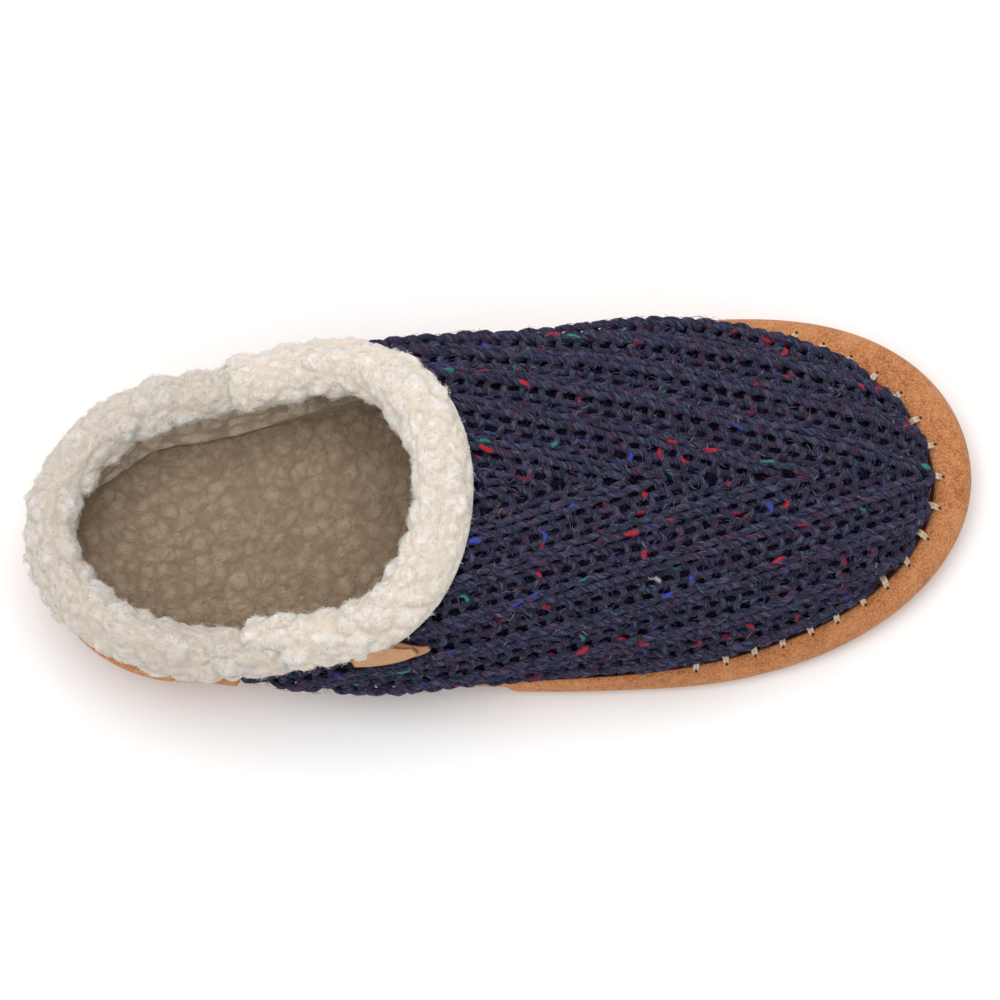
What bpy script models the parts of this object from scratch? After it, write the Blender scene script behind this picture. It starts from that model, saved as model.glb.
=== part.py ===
"""Clog slipper for the right foot: a ribbed knit upper on a suede-wrapped sole, with sherpa cuffs.

Metres. +X points to the toe, +Y to the inner side of the foot and +Z up from the floor.
"Outer" is the -Y side of the foot and "inner" the +Y side.
"""

from math import cos, exp, hypot, pi, sin

import bmesh
import bpy
import numpy as np
from mathutils.bvhtree import BVHTree
from mathutils.kdtree import KDTree

# Driving sizes of the shoe
SOLE_LENGTH = 0.2690
BALL_WIDTH = 0.1072
INSTEP_HEIGHT = 0.0580
SOLE_THICKNESS = 0.0130
HEEL_OVERHANG = 0.0035
GAP = 0.0003

# Plan lines: x and length are shares of the sole's length, y and width are shares of the ball width.
# Each has a heel arc, a waist, a start of the toe curve on either side with its power, and a tip.
SOLE_EDGE = dict(
    heel_x=0.156, heel_y=-0.012, heel_length=0.156, heel_width=0.390,
    waist_x=0.380, waist_outer=-0.462, waist_inner=0.440,
    outer_x=0.658, outer_y=-0.500, outer_power=2.1,
    inner_x=0.721, inner_y=0.500, inner_power=2.6,
    tip_x=1.000, tip_y=0.036)
FEATHER_LINE = dict(
    heel_x=0.156, heel_y=-0.012, heel_length=0.149, heel_width=0.371,
    waist_x=0.380, waist_outer=-0.452, waist_inner=0.434,
    outer_x=0.572, outer_y=-0.463, outer_power=2.25,
    inner_x=0.677, inner_y=0.476, inner_power=1.9,
    tip_x=0.953, tip_y=0.004)
COLLAR_LINE = dict(
    heel_x=0.196, heel_y=-0.026, heel_length=0.176, heel_width=0.328,
    waist_x=0.240, waist_outer=-0.360, waist_inner=0.332,
    outer_x=0.304, outer_y=-0.356, outer_power=2.1,
    inner_x=0.304, inner_y=0.358, inner_power=2.3,
    tip_x=0.426, tip_y=0.025)

# The spine runs under the crown from the middle of the heel to the middle of the toe
SPINE_HEEL = (0.156, -0.012)
SPINE_TOE = (0.780, 0.000)

# Sections of the last: place along the sole, crown height over the floor as a share of the instep
# height, fullness (power of the section's curve) and bulge of the side wall past the feather line
SECTION_COLUMNS = ("along", "crown", "fullness", "bulge")
SECTIONS = (
    (0.156, 0.760, 4.60, 0.0016),
    (0.230, 0.900, 4.00, 0.0030),
    (0.300, 1.020, 3.20, 0.0042),
    (0.426, 1.000, 2.50, 0.0042),
    (0.560, 0.930, 2.30, 0.0016),
    (0.680, 0.830, 2.20, 0.0016),
    (0.780, 0.720, 2.10, 0.0014),
)
BULGE_HEIGHT = 0.0105

# Underside of the sole: flat heel, arch, flat forefoot, toe spring
HEEL_FLAT = (0.045, 0.270)
FOREFOOT_FLAT = (0.565, 0.790)
ARCH_RISE = 0.0024
TOE_SPRING = 0.0055
HEEL_ROLL = 0.0010

# Rolled edge of the sole, from the underside to the feather line: share of the rim's width taken in,
# extra inset, and height as a share of the thickness
SOLE_EDGE_ROWS = (
    (0.00, 0.0040, 0.00),
    (0.00, 0.0012, 0.10),
    (0.00, 0.0000, 0.36),
    (0.10, 0.0003, 0.66),
    (0.34, 0.0004, 0.87),
    (0.68, 0.0002, 0.97),
    (1.00, 0.0000, 1.00),
)

# Knit upper
WALL = 0.0030
RIB_PITCH = 0.0120
RIB_RELIEF = 0.0014
RIB_SLOPE = 0.27
RIB_FADE = 0.0120
SIDE_SEAM = 0.2035

# Suede counter, footbed and tag
COUNTER_THICKNESS = 0.0014
COUNTER_STEP = 2
INSOLE_THICKNESS = 0.0040
INSOLE_ROUND = 0.0014
INSOLE_INSET = WALL + 0.0012
TAG_THICKNESS = 0.0013
TAG_LENGTH = 0.0170
TAG_DROP = 0.0052
TAG_ALONG = 0.336
TAG_CLEAR = 0.0008
TAG_STATIONS = 7

# Sherpa cuffs: thickness outside and inside the wall, rise over the collar's edge, drop down the wall
CUFF_COLUMNS = ("outside", "inside", "rise", "drop", "lining")
FRONT_CUFF = (0.0092, 0.0056, 0.0072, 0.0100, 2 * GAP)
HEEL_CUFF = (0.0076, 0.0046, 0.0072, 0.0100, 3 * GAP + COUNTER_THICKNESS)
CUFF_ROUNDNESS = 2.5
CUFF_OUTER_TRIM = 0.28
CUFF_DROP_CLEAR = 0.0120
CUFF_JOINT = 0.0006
CURL_HEIGHT = 0.0009
CURL_PITCH = 0.0085
CURL_TURN = 2.4
CURL_DRIFT = 0.37

# Mesh density
FLOOR_RINGS = (0.0, 0.55)
TOP_RINGS = (0.5, 0.0)
PLY_POINTS = 3
FOLD_POINTS = 5
COLLAR_STATIONS = 11
VAMP_STATIONS = 12
HEEL_RAYS = 6
TOE_RAYS = 16
WALL_ROWS = 20
ROLL_POINTS = 15
FRONT_CUFF_STATIONS = 44
HEEL_CUFF_STATIONS = 30
LINE_STEPS = 48
CURVE_STEPS = 64
NORMAL_BLEND = 4
SHARP_ANGLE = pi / 4
WELD = 1e-6
TINY = 1e-12

# Finish of each piece: base colour, roughness
FINISHES = {
    "sole": ((0.50, 0.26, 0.12), 0.90),
    "heel_counter": ((0.50, 0.26, 0.12), 0.90),
    "upper": ((0.030, 0.028, 0.060), 0.95),
    "insole": ((0.62, 0.54, 0.43), 1.00),
    "front_cuff": ((0.80, 0.76, 0.68), 1.00),
    "heel_cuff": ((0.80, 0.76, 0.68), 1.00),
    "side_tag": ((0.58, 0.37, 0.20), 0.75),
}


# Small helpers

def along(share):
    """World x of a place along the sole."""
    return (share - 0.5) * SOLE_LENGTH + HEEL_OVERHANG / 2


def across(share):
    """World y of a share of the ball width."""
    return share * BALL_WIDTH


def smooth_through(x, knots_x, knots_y):
    """Cubic curve through the knots, level at both ends."""
    knots_x, knots_y = np.asarray(knots_x), np.asarray(knots_y)
    slope = np.gradient(knots_y, knots_x)
    slope[0] = slope[-1] = 0.0
    x = np.clip(x, knots_x[0], knots_x[-1])
    i = np.clip(np.searchsorted(knots_x, x) - 1, 0, len(knots_x) - 2)
    span = knots_x[i + 1] - knots_x[i]
    t = (x - knots_x[i]) / span
    start = (1 + 2 * t) * (1 - t) ** 2 * knots_y[i] + t * (1 - t) ** 2 * span * slope[i]
    end = t * t * (3 - 2 * t) * knots_y[i + 1] + t * t * (t - 1) * span * slope[i + 1]
    return start + end


def unit(vectors):
    """Vectors scaled to length one."""
    return vectors / np.maximum(np.linalg.norm(vectors, axis=-1, keepdims=True), TINY)


def arc_lengths(points):
    """Distance of each point along its polyline."""
    steps = np.linalg.norm(np.diff(points, axis=0), axis=1)
    return np.concatenate([[0.0], np.cumsum(steps)])


def resample(points, places):
    """Points of a polyline at the given distances along it."""
    lengths = arc_lengths(points)
    return np.stack([np.interp(places, lengths, points[:, k]) for k in range(points.shape[1])], axis=1)


# Form of the last

def plan_line(line):
    """Closed plan outline: heel arc, two smooth sides and a toe of two quarter superellipses."""
    turn = np.linspace(pi / 2, 3 * pi / 2, LINE_STEPS)
    heel_x, heel_y = along(line["heel_x"]), across(line["heel_y"])
    heel_length, heel_width = line["heel_length"] * SOLE_LENGTH, across(line["heel_width"])
    tip_x, tip_y = along(line["tip_x"]), across(line["tip_y"])
    heel = np.stack([heel_x + heel_length * np.cos(turn), heel_y + heel_width * np.sin(turn)], axis=1)
    sides, toes = [], []
    for side, sign in (("outer", -1), ("inner", 1)):
        start_x, start_y = along(line[side + "_x"]), across(line[side + "_y"])
        waist_x, waist_y = along(line["waist_x"]), across(line["waist_" + side])
        x = np.linspace(heel_x, start_x, LINE_STEPS)[1:-1]
        y = smooth_through(x, (heel_x, waist_x, start_x), (heel_y + sign * heel_width, waist_y, start_y))
        sides.append(np.stack([x, y], axis=1))
        bend = np.linspace(0, pi / 2, LINE_STEPS)
        toe_x = start_x + (tip_x - start_x) * np.sin(bend) ** (2 / line[side + "_power"])
        toe_y = tip_y + (start_y - tip_y) * np.cos(bend)
        toes.append(np.stack([toe_x, toe_y], axis=1))
    return np.concatenate([heel, sides[0], toes[0][:-1], toes[1][::-1], sides[1][::-1]])


def ray_reach(outline, origin, direction):
    """Distance from the origin to the outline along a direction, or None where the origin is outside."""
    start = outline - origin
    edge = np.roll(start, -1, axis=0) - start
    slant = direction[0] * edge[:, 1] - direction[1] * edge[:, 0]
    slant = np.where(np.abs(slant) < TINY, TINY, slant)
    reach = (start[:, 0] * edge[:, 1] - start[:, 1] * edge[:, 0]) / slant
    place = (start[:, 0] * direction[1] - start[:, 1] * direction[0]) / slant
    hits = reach[(place >= 0) & (place <= 1) & (reach > 0)]
    return hits.max() if len(hits) % 2 else None


def spine_point(x):
    """Point of the spine at a world x."""
    heel = np.array([along(SPINE_HEEL[0]), across(SPINE_HEEL[1])])
    toe = np.array([along(SPINE_TOE[0]), across(SPINE_TOE[1])])
    return heel + (toe - heel) * (x - heel[0]) / (toe[0] - heel[0])


def rays():
    """Origins on the spine and plan directions of every section, once round the shoe from the heel's back."""
    heel_x, toe_x = along(SPINE_HEEL[0]), along(SPINE_TOE[0])
    front_x = along(COLLAR_LINE["tip_x"])
    steps = np.arange(COLLAR_STATIONS, 0, -1) / COLLAR_STATIONS
    stations = np.concatenate([
        front_x - (front_x - heel_x) * steps ** 2,
        np.linspace(front_x, toe_x, VAMP_STATIONS + 1)])
    fan = [(heel_x, pi + k * pi / 2 / HEEL_RAYS) for k in range(HEEL_RAYS)]
    fan += [(x, -pi / 2) for x in stations]
    fan += [(toe_x, -pi / 2 + k * pi / TOE_RAYS) for k in range(1, TOE_RAYS)]
    fan += [(x, pi / 2) for x in stations[::-1]]
    fan += [(heel_x, pi / 2 + k * pi / 2 / HEEL_RAYS) for k in range(1, HEEL_RAYS)]
    return [(spine_point(x), np.array([cos(turn), sin(turn)])) for x, turn in fan]


def toe_rise(x):
    """Toe spring at a world x."""
    start, tip = along(FOREFOOT_FLAT[1]), along(1.0)
    return TOE_SPRING * max(0.0, (x - start) / (tip - start)) ** 2


def underside(x):
    """Height of the sole's underside at a world x."""
    arch_start, arch_end = along(HEEL_FLAT[1]), along(FOREFOOT_FLAT[0])
    place = min(max((x - arch_start) / (arch_end - arch_start), 0.0), 1.0)
    back = max(0.0, (along(HEEL_FLAT[0]) - x) / (along(HEEL_FLAT[0]) - along(0.0)))
    return ARCH_RISE * sin(pi * place) ** 2 + HEEL_ROLL * back ** 2 + toe_rise(x)


def section_value(column, x):
    """Value of a section column at a world x."""
    k = SECTION_COLUMNS.index(column)
    return float(smooth_through(x, [along(row[0]) for row in SECTIONS], [row[k] for row in SECTIONS]))


def last_section(ray, reach, collar_reach):
    """Points of one section from the feather line up to the spine or the collar, and how far each lies
    from the crown along the section."""
    origin, direction = ray
    foot = origin + direction * reach
    floor = SOLE_THICKNESS + 2 * GAP + toe_rise(foot[0])
    height = section_value("crown", origin[0]) * INSTEP_HEIGHT - floor
    fullness, bulge = section_value("fullness", origin[0]), section_value("bulge", origin[0])
    points = []
    for turn in np.linspace(0, pi / 2, CURVE_STEPS):
        level = height * sin(turn)
        swell = bulge * (level / BULGE_HEIGHT * exp(1 - level / BULGE_HEIGHT)) ** 2
        out = (reach + swell) * max(cos(turn), 0.0) ** (2 / fullness)
        points.append((*(origin + direction * out), floor + level))
    points = np.array(points)
    from_crown = arc_lengths(points)[-1] - arc_lengths(points)
    if collar_reach:
        out = np.hypot(*(points[:, :2] - origin).T)
        last = np.nonzero(out >= collar_reach)[0][-1]
        share = (out[last] - collar_reach) / (out[last] - out[last + 1])
        edge = points[last] + share * (points[last + 1] - points[last])
        from_crown = np.append(from_crown[:last + 1], from_crown[last] + share * np.diff(from_crown)[last])
        points = np.vstack([points[:last + 1], edge])
    places = np.linspace(0, arc_lengths(points)[-1], WALL_ROWS + 1)
    return resample(points, places), np.interp(places, arc_lengths(points), from_crown)


class Last:
    """Rays of the shoe, the reach of each plan line along them, and the wall of the upper with each of its
    points' distance to the side of the crown line."""

    def __init__(self):
        self.rays = rays()
        self.front_x = along(COLLAR_LINE["tip_x"])
        self.collar = plan_line(COLLAR_LINE)
        self.sole_reach = self.reaches(plan_line(SOLE_EDGE))
        self.feather_reach = self.reaches(plan_line(FEATHER_LINE))
        collar_reach = self.reaches(self.collar)
        self.open_rays = np.array([origin[0] < self.front_x - GAP for origin, _ in self.rays])
        sections = [
            last_section(ray, self.feather_reach[k], collar_reach[k] if self.open_rays[k] else None)
            for k, ray in enumerate(self.rays)]
        self.wall = np.array([points for points, _ in sections])
        self.from_crown = np.array([
            distance * abs(direction[1]) for (_, distance), (_, direction) in zip(sections, self.rays)])
        self.normals = wall_normals(self.wall)
        self.face = BVHTree.FromPolygons(self.wall.reshape(-1, 3).tolist(), wall_faces(*self.wall.shape[:2]))
        self.points = KDTree(self.wall[..., 0].size)
        for k, point in enumerate(self.wall.reshape(-1, 3)):
            self.points.insert(point, k)
        self.points.balance()

    def foot(self, point):
        """Nearest point of the wall's outer face, and the wall's normal there."""
        nearest = self.face.find_nearest(point)[0]
        normal = np.zeros(3)
        for _, k, distance in self.points.find_n(nearest, NORMAL_BLEND):
            normal += self.normals.reshape(-1, 3)[k] / (distance + GAP)
        return np.array(nearest), unit(normal)

    def reaches(self, outline):
        return [ray_reach(outline, *ray) for ray in self.rays]

    def ribbed_wall(self):
        """Wall with the knit's ribs raised on it, smooth behind the side seams and under the cuff."""
        plan = self.wall[..., :2].reshape(-1, 2)
        to_collar = np.array([np.hypot(*(self.collar - point).T).min() for point in plan])
        to_collar = to_collar.reshape(self.from_crown.shape)
        clear_of_cuff = np.clip((to_collar - CUFF_DROP_CLEAR) / RIB_FADE, 0, 1)
        clear_of_seam = np.clip((self.wall[..., 0] - along(SIDE_SEAM)) / RIB_FADE, 0, 1)
        clear_of_sole = np.arange(WALL_ROWS + 1) > 0
        phase = (self.from_crown + RIB_SLOPE * self.wall[..., 0]) / RIB_PITCH
        relief = RIB_RELIEF / 2 * np.cos(2 * pi * phase) * clear_of_cuff * clear_of_seam * clear_of_sole
        return self.wall + self.normals * relief[..., None]

    def columns(self, behind_seam):
        """Sections on the collar, in the order of the rays: the heel's, or the front's."""
        seam_x = along(SIDE_SEAM) + GAP
        count = len(self.rays)
        at = np.array([origin[0] for origin, _ in self.rays])
        if behind_seam:
            chosen = at <= seam_x
        else:
            chosen = (at >= seam_x - 2 * GAP) & (at <= self.front_x + GAP)
        start = next(k for k in range(count) if chosen[k] and not chosen[k - 1] and (at[k] <= seam_x))
        order = [(start + k) % count for k in range(count)]
        return [k for k in order if chosen[k]]


def wall_faces(count, rows):
    """Corner numbers of the wall's faces, for points numbered section by section."""
    corners = []
    for k in range(count):
        n = (k + 1) % count
        corners += [(k * rows + j, n * rows + j, n * rows + j + 1, k * rows + j + 1) for j in range(rows - 1)]
    return corners


def wall_normals(wall):
    """Outward normals of the wall, taking the next row's where sections meet in one point."""
    around = np.roll(wall, -1, axis=0) - np.roll(wall, 1, axis=0)
    normals = np.cross(around, np.gradient(wall, axis=1))
    weak = np.linalg.norm(normals[:, -1], axis=1) < TINY
    normals[weak, -1] = normals[weak, -2]
    return unit(normals)


# Meshes

def loft(rings, closed_ring):
    """Mesh through rings of points; rings that meet in a point are merged."""
    mesh = bmesh.new()
    rows = [[mesh.verts.new(point) for point in ring] for ring in rings]
    for low, high in zip(rows, rows[1:]):
        last = len(low) if closed_ring else len(low) - 1
        for k in range(last):
            n = (k + 1) % len(low)
            mesh.faces.new((low[k], low[n], high[n], high[k]))
    bmesh.ops.remove_doubles(mesh, verts=mesh.verts, dist=WELD)
    return mesh


def make_piece(name, mesh, parent):
    """Object of a piece from its mesh, with its finish, under the shoe's empty."""
    data = bpy.data.meshes.new(name)
    mesh.to_mesh(data)
    mesh.free()
    data.shade_smooth()
    data.set_sharp_from_angle(angle=SHARP_ANGLE)
    colour, roughness = FINISHES[name]
    material = bpy.data.materials.new(name)
    material.use_nodes = True
    shader = material.node_tree.nodes["Principled BSDF"]
    shader.inputs["Base Color"].default_value = (*colour, 1.0)
    shader.inputs["Roughness"].default_value = roughness
    data.materials.append(material)
    piece = bpy.data.objects.new(name, data)
    piece.parent = parent
    parent.users_collection[0].objects.link(piece)
    return piece


def add_wall(piece, thickness, offset):
    """Give a sheet its thickness: inwards for an offset of -1, outwards for 1, both ways for 0."""
    wall = piece.modifiers.new("Wall", "SOLIDIFY")
    wall.thickness = thickness
    wall.offset = offset
    wall.use_even_offset = True


# Pieces

def make_sole(last, parent):
    """Wrapped sole: flat heel and forefoot, arch, toe spring and a rolled rim up to the feather line."""
    rings = []
    for share in FLOOR_RINGS:
        rings.append([
            floor_point(origin + direction * share * reach, 0.0)
            for (origin, direction), reach in zip(last.rays, last.sole_reach)])
    for rim_share, inset, height in SOLE_EDGE_ROWS:
        ring = []
        for (origin, direction), edge, feather in zip(last.rays, last.sole_reach, last.feather_reach):
            reach = edge - inset - rim_share * (edge - feather)
            ring.append(floor_point(origin + direction * reach, height))
        rings.append(ring)
    for share in TOP_RINGS:
        rings.append([
            floor_point(origin + direction * share * reach, 1.0)
            for (origin, direction), reach in zip(last.rays, last.feather_reach)])
    return make_piece("sole", loft(rings, True), parent)


def floor_point(plan, height):
    """Point of the sole over a plan point, from its underside (0) to its top (1)."""
    top = SOLE_THICKNESS + toe_rise(plan[0])
    return (*plan, underside(plan[0]) * (1 - height) + top * height)


def make_insole(last, parent):
    """Footbed on the sole, clear of the upper's inner face, with a rounded upper edge."""
    base, top = SOLE_THICKNESS + GAP, SOLE_THICKNESS + GAP + INSOLE_THICKNESS
    rows = ((0.0, 0.0, base), (1.0, 0.0, base), (1.0, 0.0, top - INSOLE_ROUND), (1.0, INSOLE_ROUND, top),
            (0.5, 0.0, top), (0.0, 0.0, top))
    rings = []
    for share, round_in, level in rows:
        ring = []
        for (origin, direction), reach in zip(last.rays, last.feather_reach):
            plan = origin + direction * (share * (reach - INSOLE_INSET) - round_in)
            ring.append((*plan, level + toe_rise(plan[0])))
        rings.append(ring)
    return make_piece("insole", loft(rings, True), parent)


def make_upper(last, parent):
    """Knit shell with raised ribs, open at the collar and underneath."""
    rings = np.swapaxes(last.ribbed_wall(), 0, 1)
    upper = make_piece("upper", loft(rings, True), parent)
    add_wall(upper, WALL, -1)
    return upper


def make_heel_counter(last, parent):
    """Suede panel round the outside of the heel, from side seam to side seam."""
    columns = last.columns(behind_seam=True)
    sheet = last.wall[columns] + last.normals[columns] * GAP
    counter = make_piece("heel_counter", loft(np.swapaxes(sheet[:, ::COUNTER_STEP], 0, 1), False), parent)
    add_wall(counter, COUNTER_THICKNESS, 1)
    return counter


def roll_section(outside, inside, rise, drop, lining):
    """Closed section of a cuff: a soft roll with a slot from below for the wall. Each point is (out from the
    wall's outer face, up from the collar's edge, curl) with curl 0 on the slot."""
    half_width = (outside + WALL + inside) / 2
    half_height = (rise + drop) / 2
    middle = (outside - half_width, rise - half_height)
    mouth_out = np.clip((lining - middle[0]) / half_width, -1, 1)
    mouth_in = np.clip((-WALL - GAP - middle[0]) / half_width, -1, 1)
    section = []
    first = -np.arccos(np.sign(mouth_out) * abs(mouth_out) ** (CUFF_ROUNDNESS / 2))
    last = -np.arccos(np.sign(mouth_in) * abs(mouth_in) ** (CUFF_ROUNDNESS / 2)) + 2 * pi
    for k, turn in enumerate(np.linspace(first, last, ROLL_POINTS)):
        across_share = np.sign(cos(turn)) * abs(cos(turn)) ** (2 / CUFF_ROUNDNESS)
        up_share = np.sign(sin(turn)) * abs(sin(turn)) ** (2 / CUFF_ROUNDNESS)
        curl = sin(pi * k / (ROLL_POINTS - 1)) ** 0.5 if 0 < k < ROLL_POINTS - 1 else 0.0
        section.append((middle[0] + half_width * across_share, middle[1] + half_height * up_share, curl))
    section += [(-WALL - GAP, height, 0.0) for height in (-drop / 2, GAP)]
    section += [(lining, height, 0.0) for height in (GAP, -drop / 2)]
    return section


class CollarPath:
    """The collar's edge, with the wall's outward normal, the tangent and the way up off the edge."""

    def __init__(self, last, behind_seam):
        columns = last.columns(behind_seam)
        self.last = last
        self.edge, self.normals = last.wall[columns, -1], last.normals[columns, -1]
        self.lengths = arc_lengths(self.edge)

    def place_at(self, x, sign):
        """Distance along the edge to a world x on the inner (1) or outer (-1) side."""
        side = np.nonzero(np.sign(self.edge[:, 1]) == sign)[0]
        nearest = side[np.argmin(abs(self.edge[side, 0] - x))]
        return self.lengths[nearest]

    def frames(self, places, square_ends):
        path = resample(self.edge, places)
        out = np.stack([np.interp(places, self.lengths, self.normals[:, k]) for k in range(3)], axis=1)
        tangent = unit(np.gradient(path, axis=0))
        if square_ends:
            for end in (0, -1):
                tangent[end] = (np.sign(tangent[end, 0]), 0, 0)
        out = unit(out - tangent * np.sum(out * tangent, axis=1, keepdims=True))
        return path, out, tangent, unit(np.cross(out, tangent))

    def point(self, frame, reach, height, squared=False):
        """Point at a reach out from the wall and a height over the edge; below it, the wall is followed."""
        path, out, tangent, up = frame
        base, normal = path + up * height, out
        if height < 0:
            base, normal = self.last.foot(base)
        if squared:
            normal = unit(normal - tangent * np.dot(normal, tangent))
        return base + normal * reach


def outer_share(out):
    """How far a direction points to the outer side of the foot, seen from above."""
    return max(0.0, -out[1] / max(hypot(out[0], out[1]), TINY))


def make_cuff(name, last, parent, sizes, stations, behind_seam):
    """Sherpa roll along the collar's edge, slimmer on the outer side, with low curls over its face."""
    collar = CollarPath(last, behind_seam)
    places = np.linspace(CUFF_JOINT / 2, collar.lengths[-1] - CUFF_JOINT / 2, stations)
    section = roll_section(*sizes)
    middle = (sizes[0] - WALL - sizes[1]) / 2
    lining = sizes[CUFF_COLUMNS.index("lining")]
    rings = []
    for k, frame in enumerate(zip(*collar.frames(places, square_ends=True))):
        at_end = k in (0, stations - 1)
        slimmer = CUFF_OUTER_TRIM * outer_share(frame[1])
        ring = []
        for j, (reach, height, curl) in enumerate(section):
            reach -= slimmer * max(reach - lining, 0.0)
            wave = sin(2 * pi * places[k] / CURL_PITCH + (j % 2) * pi) * sin(CURL_TURN * j + CURL_DRIFT * k)
            grown = CURL_HEIGHT * wave * curl * (not at_end) / max(hypot(reach - middle, height), WALL)
            reach += (reach - middle) * grown
            ring.append(collar.point(frame, reach, height * (1 + grown), at_end))
        rings.append(ring[::-1])
    mesh = loft(rings, True)
    for ring_edges in end_loops(mesh):
        bmesh.ops.contextual_create(mesh, geom=ring_edges)
    bmesh.ops.recalc_face_normals(mesh, faces=mesh.faces)
    return make_piece(name, mesh, parent)


def end_loops(mesh):
    """Open edge loops at the two ends of a swept tube."""
    loops = []
    left = {edge for edge in mesh.edges if edge.is_boundary}
    while left:
        grown = {left.pop()}
        found = True
        while found:
            touching = {edge for edge in left if any(set(edge.verts) & set(other.verts) for other in grown)}
            grown |= touching
            left -= touching
            found = bool(touching)
        loops.append(list(grown))
    return loops


def make_side_tag(last, parent):
    """Leather tab folded double, hanging on the outer side just below the front cuff."""
    collar = CollarPath(last, behind_seam=False)
    middle = collar.place_at(along(TAG_ALONG), -1)
    places = np.linspace(middle - TAG_LENGTH / 2, middle + TAG_LENGTH / 2, TAG_STATIONS)
    top = FRONT_CUFF[CUFF_COLUMNS.index("drop")] + TAG_CLEAR
    ply = TAG_THICKNESS + GAP
    inside = RIB_RELIEF / 2 + GAP + TAG_THICKNESS / 2
    downs = [top + TAG_DROP * k / PLY_POINTS for k in range(PLY_POINTS)]
    outer_ply = [(inside + ply, down) for down in downs]
    inner_ply = [(inside, down) for down in reversed(downs)]
    turns = np.linspace(0, pi, FOLD_POINTS)
    fold = [(inside + ply / 2 + ply / 2 * cos(turn), top + TAG_DROP + ply / 2 * sin(turn)) for turn in turns]
    rings = []
    for frame in zip(*collar.frames(places, square_ends=False)):
        rings.append([collar.point(frame, reach, -down) for reach, down in outer_ply + fold + inner_ply])
    tag = make_piece("side_tag", loft(rings, False), parent)
    add_wall(tag, TAG_THICKNESS, 0)
    return tag


def main():
    for item in list(bpy.data.objects):
        bpy.data.objects.remove(item)
    shoe = bpy.data.collections.new("clog_slipper")
    bpy.context.scene.collection.children.link(shoe)
    root = bpy.data.objects.new("clog_slipper_root", None)
    shoe.objects.link(root)
    last = Last()
    make_sole(last, root)
    make_insole(last, root)
    make_upper(last, root)
    make_heel_counter(last, root)
    make_cuff("front_cuff", last, root, FRONT_CUFF, FRONT_CUFF_STATIONS, behind_seam=False)
    make_cuff("heel_cuff", last, root, HEEL_CUFF, HEEL_CUFF_STATIONS, behind_seam=True)
    make_side_tag(last, root)


main()
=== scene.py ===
"""Looks of a clog slipper for the right foot: knitted yarn, sherpa, suede, whip stitches and a leather tab.

Metres. +X points to the toe, +Y to the inner side of the foot and +Z up from the floor.
"Outer" is the -Y side of the foot and "inner" the +Y side.
"""

from functools import lru_cache
from math import atan, cos, pi, radians, sin

import bmesh
import bpy
import numpy as np
from bpy.props import FloatProperty, FloatVectorProperty, IntProperty, PointerProperty
from mathutils import Matrix, Vector, noise
from mathutils.bvhtree import BVHTree
from mathutils.kdtree import KDTree


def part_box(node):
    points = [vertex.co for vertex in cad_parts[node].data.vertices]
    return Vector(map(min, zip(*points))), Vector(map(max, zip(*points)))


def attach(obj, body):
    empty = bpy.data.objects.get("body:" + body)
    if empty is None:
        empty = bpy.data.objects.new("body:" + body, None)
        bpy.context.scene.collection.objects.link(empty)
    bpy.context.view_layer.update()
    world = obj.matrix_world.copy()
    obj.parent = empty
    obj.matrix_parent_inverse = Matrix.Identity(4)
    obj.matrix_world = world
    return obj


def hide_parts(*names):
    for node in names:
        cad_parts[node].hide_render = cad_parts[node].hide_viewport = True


bl_info = {
    "name": "Clog Slipper",
    "version": (1, 0, 0),
    "blender": (4, 5, 0),
    "location": "3D View > Sidebar > Slipper",
    "description": "Dresses the solids of a clog slipper in knit, sherpa, suede and leather",
    "category": "Object",
}

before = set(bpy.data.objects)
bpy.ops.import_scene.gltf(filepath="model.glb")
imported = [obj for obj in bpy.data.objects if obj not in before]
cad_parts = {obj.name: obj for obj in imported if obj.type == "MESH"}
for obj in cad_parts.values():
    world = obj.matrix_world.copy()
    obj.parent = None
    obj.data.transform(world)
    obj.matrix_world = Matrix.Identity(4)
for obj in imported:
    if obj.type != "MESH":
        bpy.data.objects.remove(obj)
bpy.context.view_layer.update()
SOLE_LOW, SOLE_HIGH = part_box("sole")
SOLE_LENGTH = SOLE_HIGH[0] - SOLE_LOW[0]
BALL_WIDTH = SOLE_HIGH[1] - SOLE_LOW[1]

# Heights of the last, and gaps between its pieces
INSTEP_HEIGHT = 0.0580
SOLE_THICKNESS = 0.0130
BULGE_HEIGHT = 0.0105
WALL = 0.0030
GAP = 0.0003

# Side seam, and the knit's swell beside it on the outer side: places are shares of the sole's length
SIDE_SEAM = 0.2035
OUTER_SWELL_AT = 0.232
OUTER_SWELL = 0.0032
OUTER_SWELL_LENGTH = 0.030

# Distances and sizes too small to count
DOUBLE = 1e-6
WELD = 1e-7
LEVEL = 1e-9
TINY = 1e-12
PARALLEL = 1e-15

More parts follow.
